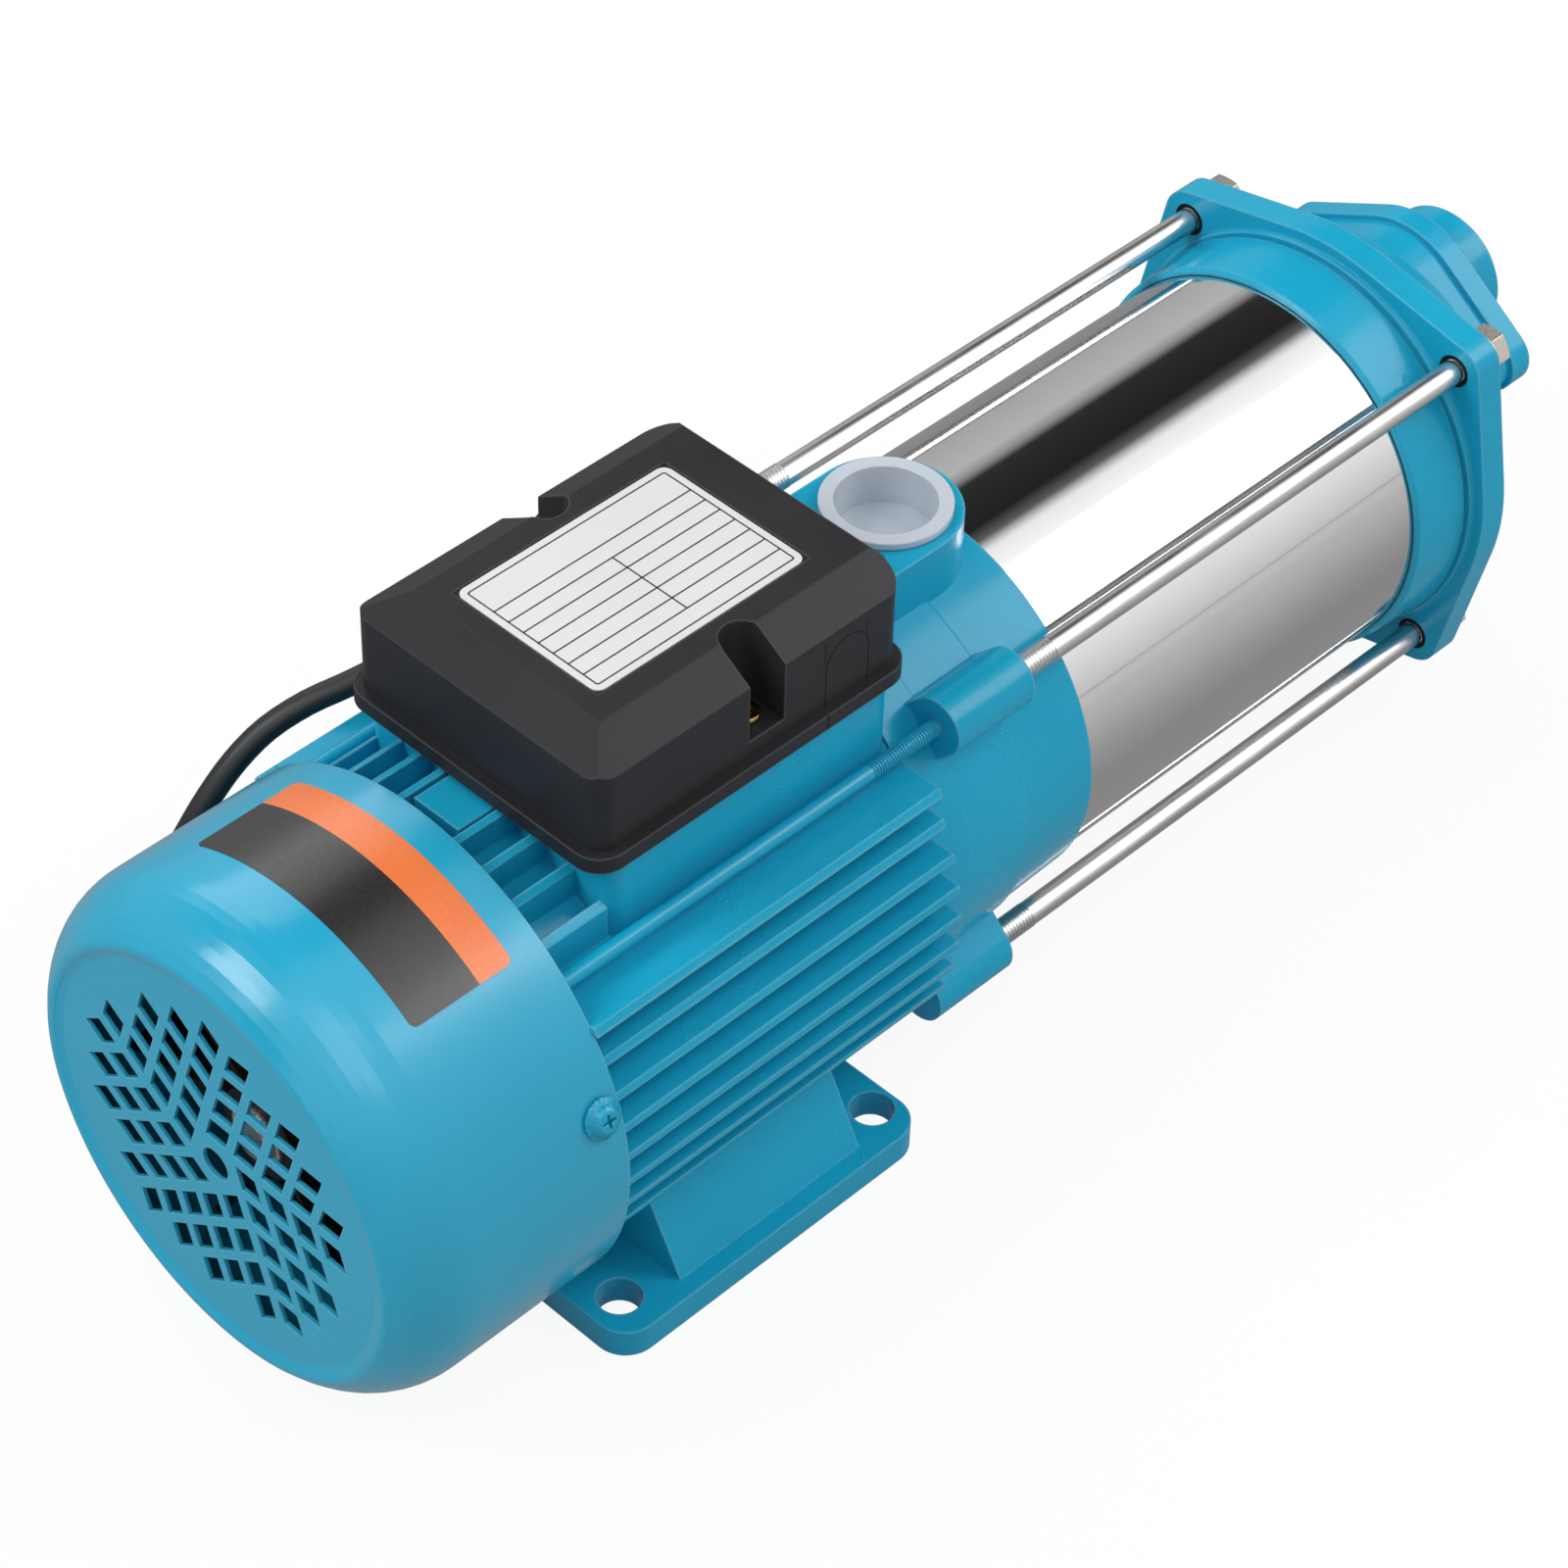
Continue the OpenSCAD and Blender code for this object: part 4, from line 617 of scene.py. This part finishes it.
@dataclass
class Studio:
    """Pale floor, soft lamps and a plain bright room."""

    floor_size: float = 12.0
    room_light: float = 0.42
    mirror_gain: float = 1.25
    floor_white: float = 0.88
    floor_glow: float = 1.04
    floor_roughness: float = 0.9
    floor_specular: float = 0.1
    floor_scale: float = 3.0
    floor_greys: tuple[Span, ...] = ((0.0, 0.62), (1.0, 0.66))
    sky_stops: tuple[Span, ...] = (
        (0.0, 0.36), (31.0, 0.44), (38.0, 0.28), (44.0, 0.024), (71.0, 0.014), (79.0, 0.10),
        (86.0, 0.82), (96.0, 0.92), (112.0, 1.0), (136.0, 1.0), (155.0, 0.76), (165.0, 0.67),
        (176.0, 0.56), (180.0, 0.52),
    )
    # Painted shade: greys of the floor as seen in reflections, darkest at and behind the pump and paler
    # out to the near side, standing in for its shadow.
    painted_floor_shade_stops: tuple[Span, ...] = (
        (0.0, 0.225), (0.115, 0.235), (0.185, 0.30), (0.256, 0.36), (0.415, 0.42), (1.136, 0.49),
        (1.2, 0.50),
    )
    lamp_aim: Point = (0.1, 0.0, 0.08)
    lamps: tuple[tuple[Point, float, float], ...] = (
        ((-0.6, -1.1, 2.1), 1.4, 10.0),
        ((1.5, -1.0, 1.5), 1.2, 17.0),
        ((0.5, 1.5, 1.6), 1.2, 9.0),
        ((-1.3, 0.7, 1.5), 0.9, 18.0),
    )

    def build(self) -> None:
        """Create the floor, the room and the lamps."""
        scene = bpy.context.scene
        scene.view_settings.view_transform = "Standard"
        self.room(scene)
        deselect()
        bpy.ops.mesh.primitive_plane_add(size=self.floor_size)
        floor = settle(bpy.context.object, "floor")
        floor.data.materials.append(self.floor_material())
        for i, (place, size, power) in enumerate(self.lamps):
            data = bpy.data.lights.new(f"softbox_{i}", "AREA")
            data.shape = "SQUARE"
            data.size = size
            data.energy = power
            lamp = bpy.data.objects.new(f"softbox_{i}", data)
            lamp.location = place
            aim = Vector(self.lamp_aim) - Vector(place)
            lamp.rotation_euler = aim.to_track_quat("-Z", "Y").to_euler()
            scene.collection.objects.link(lamp)

    def grey_ramp(self, tree: Tree, place: Socket, stops: tuple[Span, ...]) -> Socket:
        """Add a ramp through grey stops, with the last of them at 1."""
        reach = stops[-1][0]
        return tree.ramp(place, [(at / reach, (grey, grey, grey)) for at, grey in stops])

    def floor_material(self) -> bpy.types.Material:
        """Make the pale matte floor with a faint mottling, white to the camera, and greyed for glossy
        rays as a painted shadow that is darkest at the pump.
        """
        mat = bpy.data.materials.new("floor_paper")
        mat.use_nodes = True
        tree = Tree(mat.node_tree.nodes, mat.node_tree.links)
        shader = tree.nodes["Principled BSDF"]
        place = tree.add("TexCoord").outputs["Object"]
        mottling = tree.noise(place, self.floor_scale, 2.0)
        tree.feed(shader, {"Roughness": self.floor_roughness,
                           "Specular IOR Level": self.floor_specular,
                           "Base Color": self.grey_ramp(tree, mottling, self.floor_greys)})
        path = tree.add("LightPath")
        share = tree.calc("MULTIPLY", path.outputs["Is Camera Ray"], self.floor_white)
        white = tree.add("Emission", {"Strength": self.floor_glow})
        seen = tree.mix(share, shader.outputs[0], white.outputs[0])
        # Painted shadow for glossy rays: an emission grey that darkens towards the pump's axis line.
        axes = tree.add("SeparateXYZ", {0: place})
        near = tree.remap(axes.outputs["Y"], 0.0, -self.painted_floor_shade_stops[-1][0])
        grey = self.grey_ramp(tree, near, self.painted_floor_shade_stops)
        mirrored = tree.add("Emission", {"Strength": self.mirror_gain, "Color": grey})
        tree.feed(tree.nodes["Material Output"], {
            "Surface": tree.mix(path.outputs["Is Glossy Ray"], seen, mirrored.outputs[0])})
        return mat

    def room(self, scene: bpy.types.Scene) -> None:
        """Light the scene from a bright room with one dark band, seen in polished metal.

        Args:
            scene: The scene to light.
        """
        world = bpy.data.worlds.new("room")
        scene.world = world
        world.use_nodes = True
        tree = Tree(world.node_tree.nodes, world.node_tree.links)
        tree.nodes.clear()
        white = (1.0, 1.0, 1.0, 1.0)
        light = tree.add("Background", {"Color": white, "Strength": self.room_light})
        seen = tree.add("Background", {"Color": white})
        axes = tree.add("SeparateXYZ", {0: tree.add("TexCoord").outputs["Generated"]})
        height = tree.calc("ARCTAN2", axes.outputs["Z"], axes.outputs["Y"])
        grey = self.grey_ramp(tree, tree.remap(height, 0.0, math.pi), self.sky_stops)
        mirrored = tree.add("Background", {"Strength": self.mirror_gain, "Color": grey})
        path = tree.add("LightPath")
        lit = tree.mix(path.outputs["Is Glossy Ray"], light.outputs[0], mirrored.outputs[0])
        tree.add("OutputWorld", {
            "Surface": tree.mix(path.outputs["Is Camera Ray"], lit, seen.outputs[0])})


@dataclass
class PowerCord(Group):
    """Mains lead: out of the box, down behind the motor, into a put-away coil and to its plug."""

    radius: float = 0.0037
    exit: Point = (0.026275, 0.058272, 0.1532)
    route_mm: tuple[Point, ...] = (
        (13.583, 60.056, 145.8), (-1.2, 62.4, 141.8), (-12.6, 65.2, 137.4), (-23.7, 70.2, 132.9),
        (-34.9, 76, 128.7), (-45.8, 80.6, 122.9), (-55.1, 83.6, 115), (-63.3, 85.6, 105.6),
        (-70.2, 87.6, 95), (-75.3, 90.2, 83.5), (-78.2, 93.1, 71), (-78.6, 96.4, 57.8),
        (-76, 100, 42), (-69.9, 103.6, 26.5), (-61.5, 105.8, 14.2), (-49.5, 106.4, 6.8),
        (-35, 104.2, 4.1), (-12, 97.8, 3.8), (15, 89.6, 3.8), (45, 81.5, 3.8), (75, 73.5, 3.8),
        (105, 65, 3.8),
    )
    coil_middle: Span = (0.150, 0.112)
    coil_radius: float = 0.041
    coil_clear: float = 0.002
    layer_clear: float = 0.0006
    turns_in: float = 1.75
    turns: int = 4
    rings: int = 24
    tail_mm: tuple[Point, ...] = ((176, 65, 12), (190, 73, 15), (202, 80, 18))
    plug_start: Point = (0.218, 0.082, 0.0185)
    tie_angles: tuple[float, ...] = (50.0, 200.0)
    tie_in: float = 0.0284
    tie_out: float = 0.0505
    tie_top: float = 0.0164
    tie_width: float = 0.009
    tie_thick: float = 0.0008
    tie_round: Span = (0.0055, 0.0049)
    tie_lift: float = 0.0001

    def tie(self, name: str, angle: float) -> Piece:
        """Make one strap round the coil's turns.

        Args:
            name: The piece's name.
            angle: Place of the strap round the coil, in degrees.

        Returns:
            The strap.
        """
        half, t = self.tie_width / 2, self.tie_thick
        strap = box(name, (self.tie_in, -half, self.tie_lift), (self.tie_out, half, self.tie_top))
        core = box("core", (self.tie_in + t, -2 * half, t / 2),
                   (self.tie_out - t, 2 * half, self.tie_top - t))
        for piece, width in zip((strap, core), self.tie_round):
            round_edges(piece, width, 6, lambda a, b: abs(a.y - b.y) > MERGE)
        combine(strap, "DIFFERENCE", core)
        cx, cy = self.coil_middle
        strap.data.transform(Matrix.Translation((cx, cy, 0.0))
                             @ Matrix.Rotation(math.radians(angle), 4, "Z"))
        smooth(strap)
        self.palette.fit(strap, "rubber", "black_rubber")
        return strap

    def coil(self) -> list[Point]:
        """Points of the piled loops, spiralling in and out again."""
        width = 2 * self.radius
        step, rise = width + self.coil_clear, width + self.layer_clear
        outer = self.coil_radius + step * self.turns_in / 2
        cx, cy = self.coil_middle
        points = [(cx - width, cy - outer, self.radius)]
        for i in range(self.rings * self.turns + 1):
            t = i / self.rings
            r = outer - step * min(t, self.turns_in, self.turns - t)
            u = max(0.0, min(1.0, (t - self.turns_in) / (self.turns - 2 * self.turns_in)))
            a = 2 * math.pi * t - math.pi / 2
            height = self.radius + rise * u * u * (3 - 2 * u)
            points.append((cx + r * math.cos(a), cy + r * math.sin(a), height))
        points.append((cx + width, cy - outer, self.radius + rise))
        return points

    def curve_points(self, points: list[Point], steps: int = 3) -> list[Vector]:
        """Run a smooth line through given points.

        Args:
            points: The points to pass through.
            steps: Number of steps between two points.

        Returns:
            The points of the smooth line.
        """
        v = [Vector(p) for p in points]
        out = []
        for i in range(len(v) - 1):
            p0, p1, p2, p3 = v[max(i - 1, 0)], v[i], v[i + 1], v[min(i + 2, len(v) - 1)]
            for s in range(steps):
                u = s / steps
                out.append(0.5 * (2 * p1 + u * (p2 - p0) + u * u * (2 * p0 - 5 * p1 + 4 * p2 - p3)
                                  + u * u * u * (3 * p1 - p0 - 3 * p2 + p3)))
        return [*out, v[-1]]

    def path(self) -> list[Vector]:
        """The whole centre line from the box to the plug."""
        coil = self.coil()
        width = 2 * self.radius
        lead = [self.exit, *(tuple(c * MM for c in p) for p in self.route_mm),
                (coil[0][0] - 2 * width, coil[0][1], self.radius), coil[0]]
        px, py, pz = self.plug_start
        tail = [coil[-1], (coil[-1][0] + width, coil[-1][1], coil[-1][2]),
                *(tuple(c * MM for c in p) for p in self.tail_mm),
                (px - width, py, pz), (px - self.radius, py, pz), (px, py, pz)]
        return [*self.curve_points(lead), *(Vector(p) for p in coil[1:-1]), *self.curve_points(tail)]

    def build(self) -> None:
        """Make the cord and its coil ties, and hide the CAD cord nodes that it replaces."""
        path = self.path()
        data = bpy.data.curves.new("mains_lead", "CURVE")
        data.dimensions = "3D"
        data.bevel_depth = self.radius
        data.bevel_resolution = 5
        data.use_fill_caps = True
        spline = data.splines.new("POLY")
        spline.points.add(len(path) - 1)
        for point, place in zip(spline.points, path):
            point.co = (*place, 1.0)
        spline.use_smooth = True
        cord = bpy.data.objects.new("mains_lead", data)
        bpy.context.scene.collection.objects.link(cord)
        data.materials.append(self.palette.get("cord_rubber"))
        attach(cord, CASING)
        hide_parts("power_cord", "cord_coil", "cord_tail")
        ties = [self.tie(f"coil_tie_{i}", angle) for i, angle in enumerate(self.tie_angles)]


@dataclass
class NamePlate(Group):
    """White plate with ruled lines on the terminal box's lid."""

    low: Span = (-0.0235, -0.02675)
    high: Span = (0.0525, 0.02675)
    face_z: float = 0.1919
    thick: float = 0.0004
    corner: float = 0.003
    corner_least: float = 0.0005
    rule: float = 0.00045
    inset: float = 0.0021
    rows: int = 7
    title: float = 0.0103
    divider: float = 0.52
    sink: float = 0.0001
    proud: float = 0.00005

    def sheet(self, name: str, inset: float, z0: float, z1: float) -> Piece:
        """Make a rounded flat sheet.

        Args:
            name: The piece's name.
            inset: Distance that it is drawn in from the plate's edge.
            z0: Height of its underside.
            z1: Height of its top.

        Returns:
            The closed sheet.
        """
        low = (self.low[0] + inset, self.low[1] + inset, z0)
        high = (self.high[0] - inset, self.high[1] - inset, z1)
        obj = box(name, low, high)
        round_edges(obj, max(self.corner - inset, self.corner_least), 6,
                    lambda a, b: abs(a.z - b.z) > MERGE)
        return obj

    def build(self) -> None:
        """Make the plate and its rules."""
        top = self.face_z + self.thick
        plate = self.sheet("name_plate", 0.0, self.face_z - self.sink, top)
        self.palette.fit(plate, "plate_white", "grey_plastic")
        z0, z1 = top - self.sink, top + self.proud
        ring = self.sheet("plate_border", self.inset, z0, z1)
        hole = self.sheet("plate_border_hole", self.inset + self.rule, top - MM, top + MM)
        combine(ring, "DIFFERENCE", hole)
        x0, x1 = self.low[0] + self.inset, self.high[0] - self.inset
        y0, y1 = self.low[1] + self.inset, self.high[1] - self.inset
        pitch = (y1 - y0 - self.title) / self.rows
        parts = [ring]
        for i in range(self.rows):
            y = y1 - self.title - i * pitch
            parts.append(box(f"rule_{i}", (x0, y - self.rule / 2, z0), (x1, y + self.rule / 2, z1)))
        x = x0 + self.divider * (x1 - x0)
        parts.append(box("divider", (x - self.rule / 2, y0 + pitch, z0),
                         (x + self.rule / 2, y1 - self.title - pitch, z1)))
        self.palette.fit(join("plate_rules", parts), "plate_ink", "grey_plastic")


@dataclass
class CoverSticker(Group):
    """Plain two-colour sticker wrapped round the fan cover."""

    x_low: float = -0.106
    x_split: float = -0.0835
    x_high: float = -0.072
    angle_start: float = 62.5
    angle_end: float = 126.0
    cover_r: float = 0.079
    gap: float = 0.00002
    thick: float = 0.00012
    corner: float = 0.0022
    cuts: int = 44

    def band(self, name: str, x0: float, x1: float, round_low: bool) -> Piece:
        """Make one band flat, cut it across and wrap it on the cover.

        Args:
            name: The piece's name.
            x0: Rear edge.
            x1: Front edge.
            round_low: Whether the rear corners are the rounded ones.

        Returns:
            The wrapped band.
        """
        span = math.radians(self.angle_end - self.angle_start) * self.cover_r
        obj = box(name, (x0, -span / 2, self.gap), (x1, span / 2, self.thick))
        edge_x = x0 if round_low else x1
        round_edges(obj, self.corner, 5,
                    lambda a, b: abs(a.z - b.z) > MERGE and abs(a.x - edge_x) < MERGE)
        with editing(obj):
            for i in range(1, self.cuts):
                bpy.ops.mesh.select_all(action="SELECT")
                bpy.ops.mesh.bisect(plane_co=(0, -span / 2 + span * i / self.cuts, 0),
                                    plane_no=(0, 1, 0))
        middle = math.radians(self.angle_start + self.angle_end) / 2
        for v in obj.data.vertices:
            turn = middle - v.co.y / self.cover_r
            r = self.cover_r + v.co.z
            v.co = (v.co.x, r * math.cos(turn), SHAFT_H + r * math.sin(turn))
        obj.data.update()
        smooth(obj)
        return obj

    def build(self) -> None:
        """Make both bands."""
        orange = self.band("sticker_orange_band", self.x_split, self.x_high, False)
        charcoal = self.band("sticker_charcoal_band", self.x_low, self.x_split, True)
        self.palette.fit(orange, "sticker_orange", "grey_plastic")
        self.palette.fit(charcoal, "sticker_charcoal", "grey_plastic")


@dataclass
class TieHardware(Group):
    """Tie rods with rolled threads and nuts, and the motor's threaded tie bolts."""

    place: float = 0.05204
    rod_r: float = 0.004
    rod_x: Span = (0.09455, 0.3256)
    rod_threads: tuple[Span, ...] = ((0.0950, 0.1259), (0.3040, 0.3250))
    rod_pitch: float = 0.00125
    rod_root: float = 0.0007
    bolt_r: float = 0.0025
    bolt_x: Span = (-0.0700, 0.0910)
    bolt_threads: tuple[Span, ...] = ((0.0530, 0.0905),)
    bolt_pitch: float = 0.001
    bolt_root: float = 0.00045
    root_flat: Span = (0.18, 0.40)
    crest_flat: Span = (0.66, 0.92)
    head_r: float = 0.0037
    head_x: Span = (-0.0706, -0.0670)
    head_dome: Span = (0.0008, 0.0007)
    head_chamfer: float = 0.0002
    nut_x: Span = (0.3161, 0.3226)
    nut_r: float = 0.0075
    nut_chamfer: Span = (0.0009, 0.000495)
    nut_steps: int = 48
    bore_gap: float = 0.00005
    # Flat black rings on the ears' faces round the rods: painted shade standing in for the dark
    # clearance holes.
    hole_x: float = 0.3045
    hole_r: float = 0.0053
    hole_deep: Span = (-0.00008, 0.0003)
    steps: int = 28

    def shank(self, radius: float, root: float, pitch: float, ends: Span,
              threads: tuple[Span, ...]) -> list[Span]:
        """Outline of a round bar with rolled threads.

        Args:
            radius: Radius over the thread's crests.
            root: Depth of the thread.
            pitch: Distance between two crests.
            ends: Start and end of the bar.
            threads: Start and end of each thread.

        Returns:
            Points of radius and place, closed on the axis.
        """
        plain = radius - root / 4
        cut = root * 1.4
        points = [(0.0, ends[0]), (radius - cut, ends[0]), (plain, ends[0] + cut / 2)]
        for low, high in threads:
            points.append((plain, low))
            for i in range(int((high - low) / pitch)):
                x = low + i * pitch
                points += [(radius - root, x + part * pitch) for part in self.root_flat]
                points += [(radius, x + part * pitch) for part in self.crest_flat]
            points.append((plain, high))
        points += [(plain, ends[1] - cut / 2), (radius - cut, ends[1]), (0.0, ends[1])]
        return points

    def nut(self, name: str, y: float, z: float) -> Piece:
        """Make one chamfered nut with its bore.

        Args:
            name: The piece's name.
            y: Place across the shaft.
            z: Height.

        Returns:
            The nut.
        """
        x0, x1 = self.nut_x
        deselect()
        bpy.ops.mesh.primitive_cylinder_add(vertices=6, radius=self.nut_r, depth=x1 - x0)
        hexagon = settle(bpy.context.object, name)
        hexagon.data.transform(Matrix.Translation(((x0 + x1) / 2, y, z))
                               @ Matrix.Rotation(math.pi / 2, 4, "Y"))
        bore = self.rod_r + self.bore_gap
        across, down = self.nut_chamfer
        blank = turned("blank", [(bore, 0.0), (self.nut_r - across, 0.0), (self.nut_r, down),
                                 (self.nut_r, x1 - x0 - down), (self.nut_r - across, x1 - x0),
                                 (bore, x1 - x0), (bore, 0.0)], (x0, y, z), ALONG, self.nut_steps)
        combine(hexagon, "INTERSECT", blank)
        smooth(hexagon, 25.0)
        return hexagon

    def build(self) -> None:
        """Make the rods, the bolts, the nuts and the black rings of painted shade at the rod holes."""
        rods, bolts, nuts, holes = [], [], [], []
        inner = self.rod_r + self.bore_gap
        rim = ring_section(inner, self.hole_r, *self.hole_deep)
        rod = self.shank(self.rod_r, self.rod_root, self.rod_pitch, self.rod_x, self.rod_threads)
        bolt = self.shank(self.bolt_r, self.bolt_root, self.bolt_pitch, self.bolt_x,
                          self.bolt_threads)
        h0, h1 = self.head_x
        across, down = self.head_dome
        head = [(0.0, h0), (self.head_r - across, h0), (self.head_r, h0 + down),
                (self.head_r, h1 - self.head_chamfer), (self.head_r - self.head_chamfer, h1),
                (0.0, h1)]
        for i, (sy, sz) in enumerate(((1, 1), (-1, 1), (-1, -1), (1, -1))):
            y, z = sy * self.place, SHAFT_H + sz * self.place
            at = (0.0, y, z)
            rods.append(turned(f"rod_{i}", rod, at, ALONG, self.steps))
            bolts.append(turned(f"bolt_{i}", bolt, at, ALONG, self.steps))
            bolts.append(turned(f"bolt_head_{i}", head, at, ALONG, self.steps))
            nuts.append(self.nut(f"nut_{i}", y, z))
            holes.append(turned(f"hole_{i}", rim, (self.hole_x, y, z), ALONG, self.nut_steps))
        for name, parts, finish, slot, node in (
                ("threaded_tie_rods", rods, "rod_steel", "plated_steel", "tie_rods"),
                ("threaded_tie_bolts", bolts, "screw_paint", "blue_steel", "motor_tie_bolts"),
                ("chamfered_nuts", nuts, "nut_nickel", "plated_steel", "tie_rod_nuts")):
            piece = join(name, parts)
            smooth(piece, 40.0)
            self.palette.fit(piece, finish, slot, node)
        # The rings are painted shade, black where the holes would be shaded.
        self.palette.fit(join("rod_hole_shade_rings", holes), "groove_and_hole_shade_black", "black_rubber")


@dataclass
class Barrel(Group):
    """Polished barrel, turned smooth to mirror the room cleanly, and the dark bead at each end."""

    outer_r: float = 0.0624
    wall: float = 0.0015
    x0: float = 0.1269
    x1: float = 0.2893
    bead_r: float = 0.00022
    bead_places: Span = (0.13505, 0.28115)
    bead_sides: int = 8
    bead_steps: int = 128
    steps: int = 256

    def build(self) -> None:
        """Turn the barrel and the two beads, which show where it enters the castings."""
        outline = ring_section(self.outer_r - self.wall, self.outer_r, 0.0, self.x1 - self.x0)
        barrel = turned("polished_barrel", outline, (self.x0, 0.0, SHAFT_H), ALONG, self.steps)
        smooth(barrel)
        self.palette.fit(barrel, "barrel_steel", "stainless", "barrel_sleeve")
        angles = [2 * math.pi * i / self.bead_sides for i in range(self.bead_sides + 1)]
        ring = [(self.outer_r + self.bead_r * math.cos(a), self.bead_r * math.sin(a)) for a in angles]
        beads = [turned(f"bead_{i}", ring, (x, 0.0, SHAFT_H), ALONG, self.bead_steps)
                 for i, x in enumerate(self.bead_places)]
        self.palette.fit(join("barrel_end_beads", beads), "rubber", "black_rubber")


@dataclass
class Fasteners(Group):
    """Cross recesses cut into copies of the visible screws; the second arm overlaps the first."""

    cover_angles: tuple[float, ...] = (18.6, 161.4)
    cover_x: float = -0.0685
    cover_top: float = 0.08245
    cross: float = 0.0044
    cross_w: float = 0.0009
    cross_z: Span = (-0.0014, 0.002)
    arm_offset: Span = (0.00001, 0.0001)
    lid_places: tuple[Span, ...] = ((0.0182, 0.0387), (0.0182, -0.0387))
    lid_top: float = 0.1680

    def cutter(self, top: Matrix) -> Piece:
        """Make a cross-shaped cutter whose middle lies on the head's top.

        Args:
            top: Place and direction of the head's top.

        Returns:
            The cutter object.
        """
        half, thin = self.cross / 2, self.cross_w / 2
        z0, z1 = self.cross_z
        a = box("arm_a", (-half, -thin, z0), (half, thin, z1))
        b = box("arm_b", (-thin, -half, z0 - self.arm_offset[0]), (thin, half, z1 + self.arm_offset[1]))
        combine(a, "UNION", b)
        a.data.transform(top)
        return a

    def cut(self, node: str, name: str, finish: str, slot: str, tops: list[Matrix]) -> None:
        """Copy a CAD node, cut a cross into each head and let the copy stand for it.

        Args:
            node: The CAD node.
            name: The new piece's name.
            finish: The finish to use.
            slot: The record's material slot.
            tops: Place and direction of each head's top.
        """
        deselect()
        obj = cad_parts[node].copy()
        obj.data = obj.data.copy()
        for key in list(obj.keys()):
            del obj[key]
        obj.parent = None
        bpy.context.scene.collection.objects.link(obj)
        with editing(obj):
            bpy.ops.mesh.remove_doubles(threshold=MERGE)
        for top in tops:
            combine(obj, "DIFFERENCE", self.cutter(top))
        obj.name = name
        smooth(obj)
        self.palette.fit(obj, finish, slot, node)

    def build(self) -> None:
        """Cut the cover screws and the lid screws."""
        tops = []
        for angle in self.cover_angles:
            a = math.radians(angle)
            place = Vector((self.cover_x, self.cover_top * math.cos(a),
                            SHAFT_H + self.cover_top * math.sin(a)))
            out = Vector((0, math.cos(a), math.sin(a)))
            tops.append(Matrix.Translation(place) @ out.to_track_quat("Z", "X").to_matrix().to_4x4())
        self.cut("fan_cover_screws", "cover_screws_cross", "screw_paint", "blue_steel", tops)
        tops = [Matrix.Translation(Vector((x, y, self.lid_top))) for x, y in self.lid_places]
        self.cut("box_lid_screws", "lid_screws_cross", "screw_brass", "brass", tops)


@dataclass
class LidDetails(Group):
    """Knock-out arch and scribed lines on the lid's near wall, and the mark on the base's rim."""

    wall_y: float = -0.0467
    proud: float = 0.00006
    sink: float = 0.0003
    line: float = 0.0003
    arch_x: float = 0.0482
    arch_z: float = 0.1728
    arch_r: float = 0.0080
    foot_z: float = 0.1606
    scribes: tuple[tuple[float, float, float], ...] = ((0.0396, 0.1740, 0.1826),
                                                       (0.0554, 0.1765, 0.1820))
    arch_steps: int = 72
    rim_y: float = -0.0494
    rim_mark: tuple[float, float, float] = (0.0389, 0.1553, 0.1600)
    rim_mark_w: float = 0.00048

    def build(self) -> None:
        """Make the lines."""
        half = self.line / 2
        ring = ring_section(self.arch_r - half, self.arch_r + half, -self.sink, self.proud)
        arch = turned("arch", ring, (self.arch_x, self.wall_y, self.arch_z), (0, -1, 0),
                      self.arch_steps)
        with editing(arch):
            bpy.ops.mesh.bisect(plane_co=(0, 0, self.arch_z), plane_no=(0, 0, 1), use_fill=True,
                                clear_inner=True)
        parts = [arch]
        lines = [(self.arch_x + side * self.arch_r, self.foot_z, self.arch_z, self.wall_y, half)
                 for side in (-1, 1)]
        lines += [(*scribe, self.wall_y, half / 2) for scribe in self.scribes]
        lines.append((*self.rim_mark, self.rim_y, self.rim_mark_w / 2))
        for i, (x, z0, z1, y, reach) in enumerate(lines):
            parts.append(box(f"line_{i}", (x - reach, y - self.proud, z0),
                             (x + reach, y + self.sink, z1)))
        self.palette.fit(join("knockout_outline", parts), "groove_and_hole_shade_black", "black_plastic")


def dress_nodes(palette: Palette) -> None:
    """Give every CAD node its finish.

    Args:
        palette: The finishes.
    """
    for finish, names in NODE_FINISHES.items():
        for name in names:
            palette.dress(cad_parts[name], finish)
            LOG.info("%s: %s", name, finish)


def main() -> None:
    """Build the whole scene in order."""
    logging.basicConfig(level=logging.INFO, format="%(name)s: %(message)s")
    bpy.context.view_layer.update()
    palette = Palette()
    PhotoCamera().build()
    PowerCord(palette).build()
    Studio().build()
    dress_nodes(palette)
    for group in (Barrel, NamePlate, CoverSticker, TieHardware, LidDetails, Fasteners):
        group(palette).build()


if __name__ == "__main__":
    main()
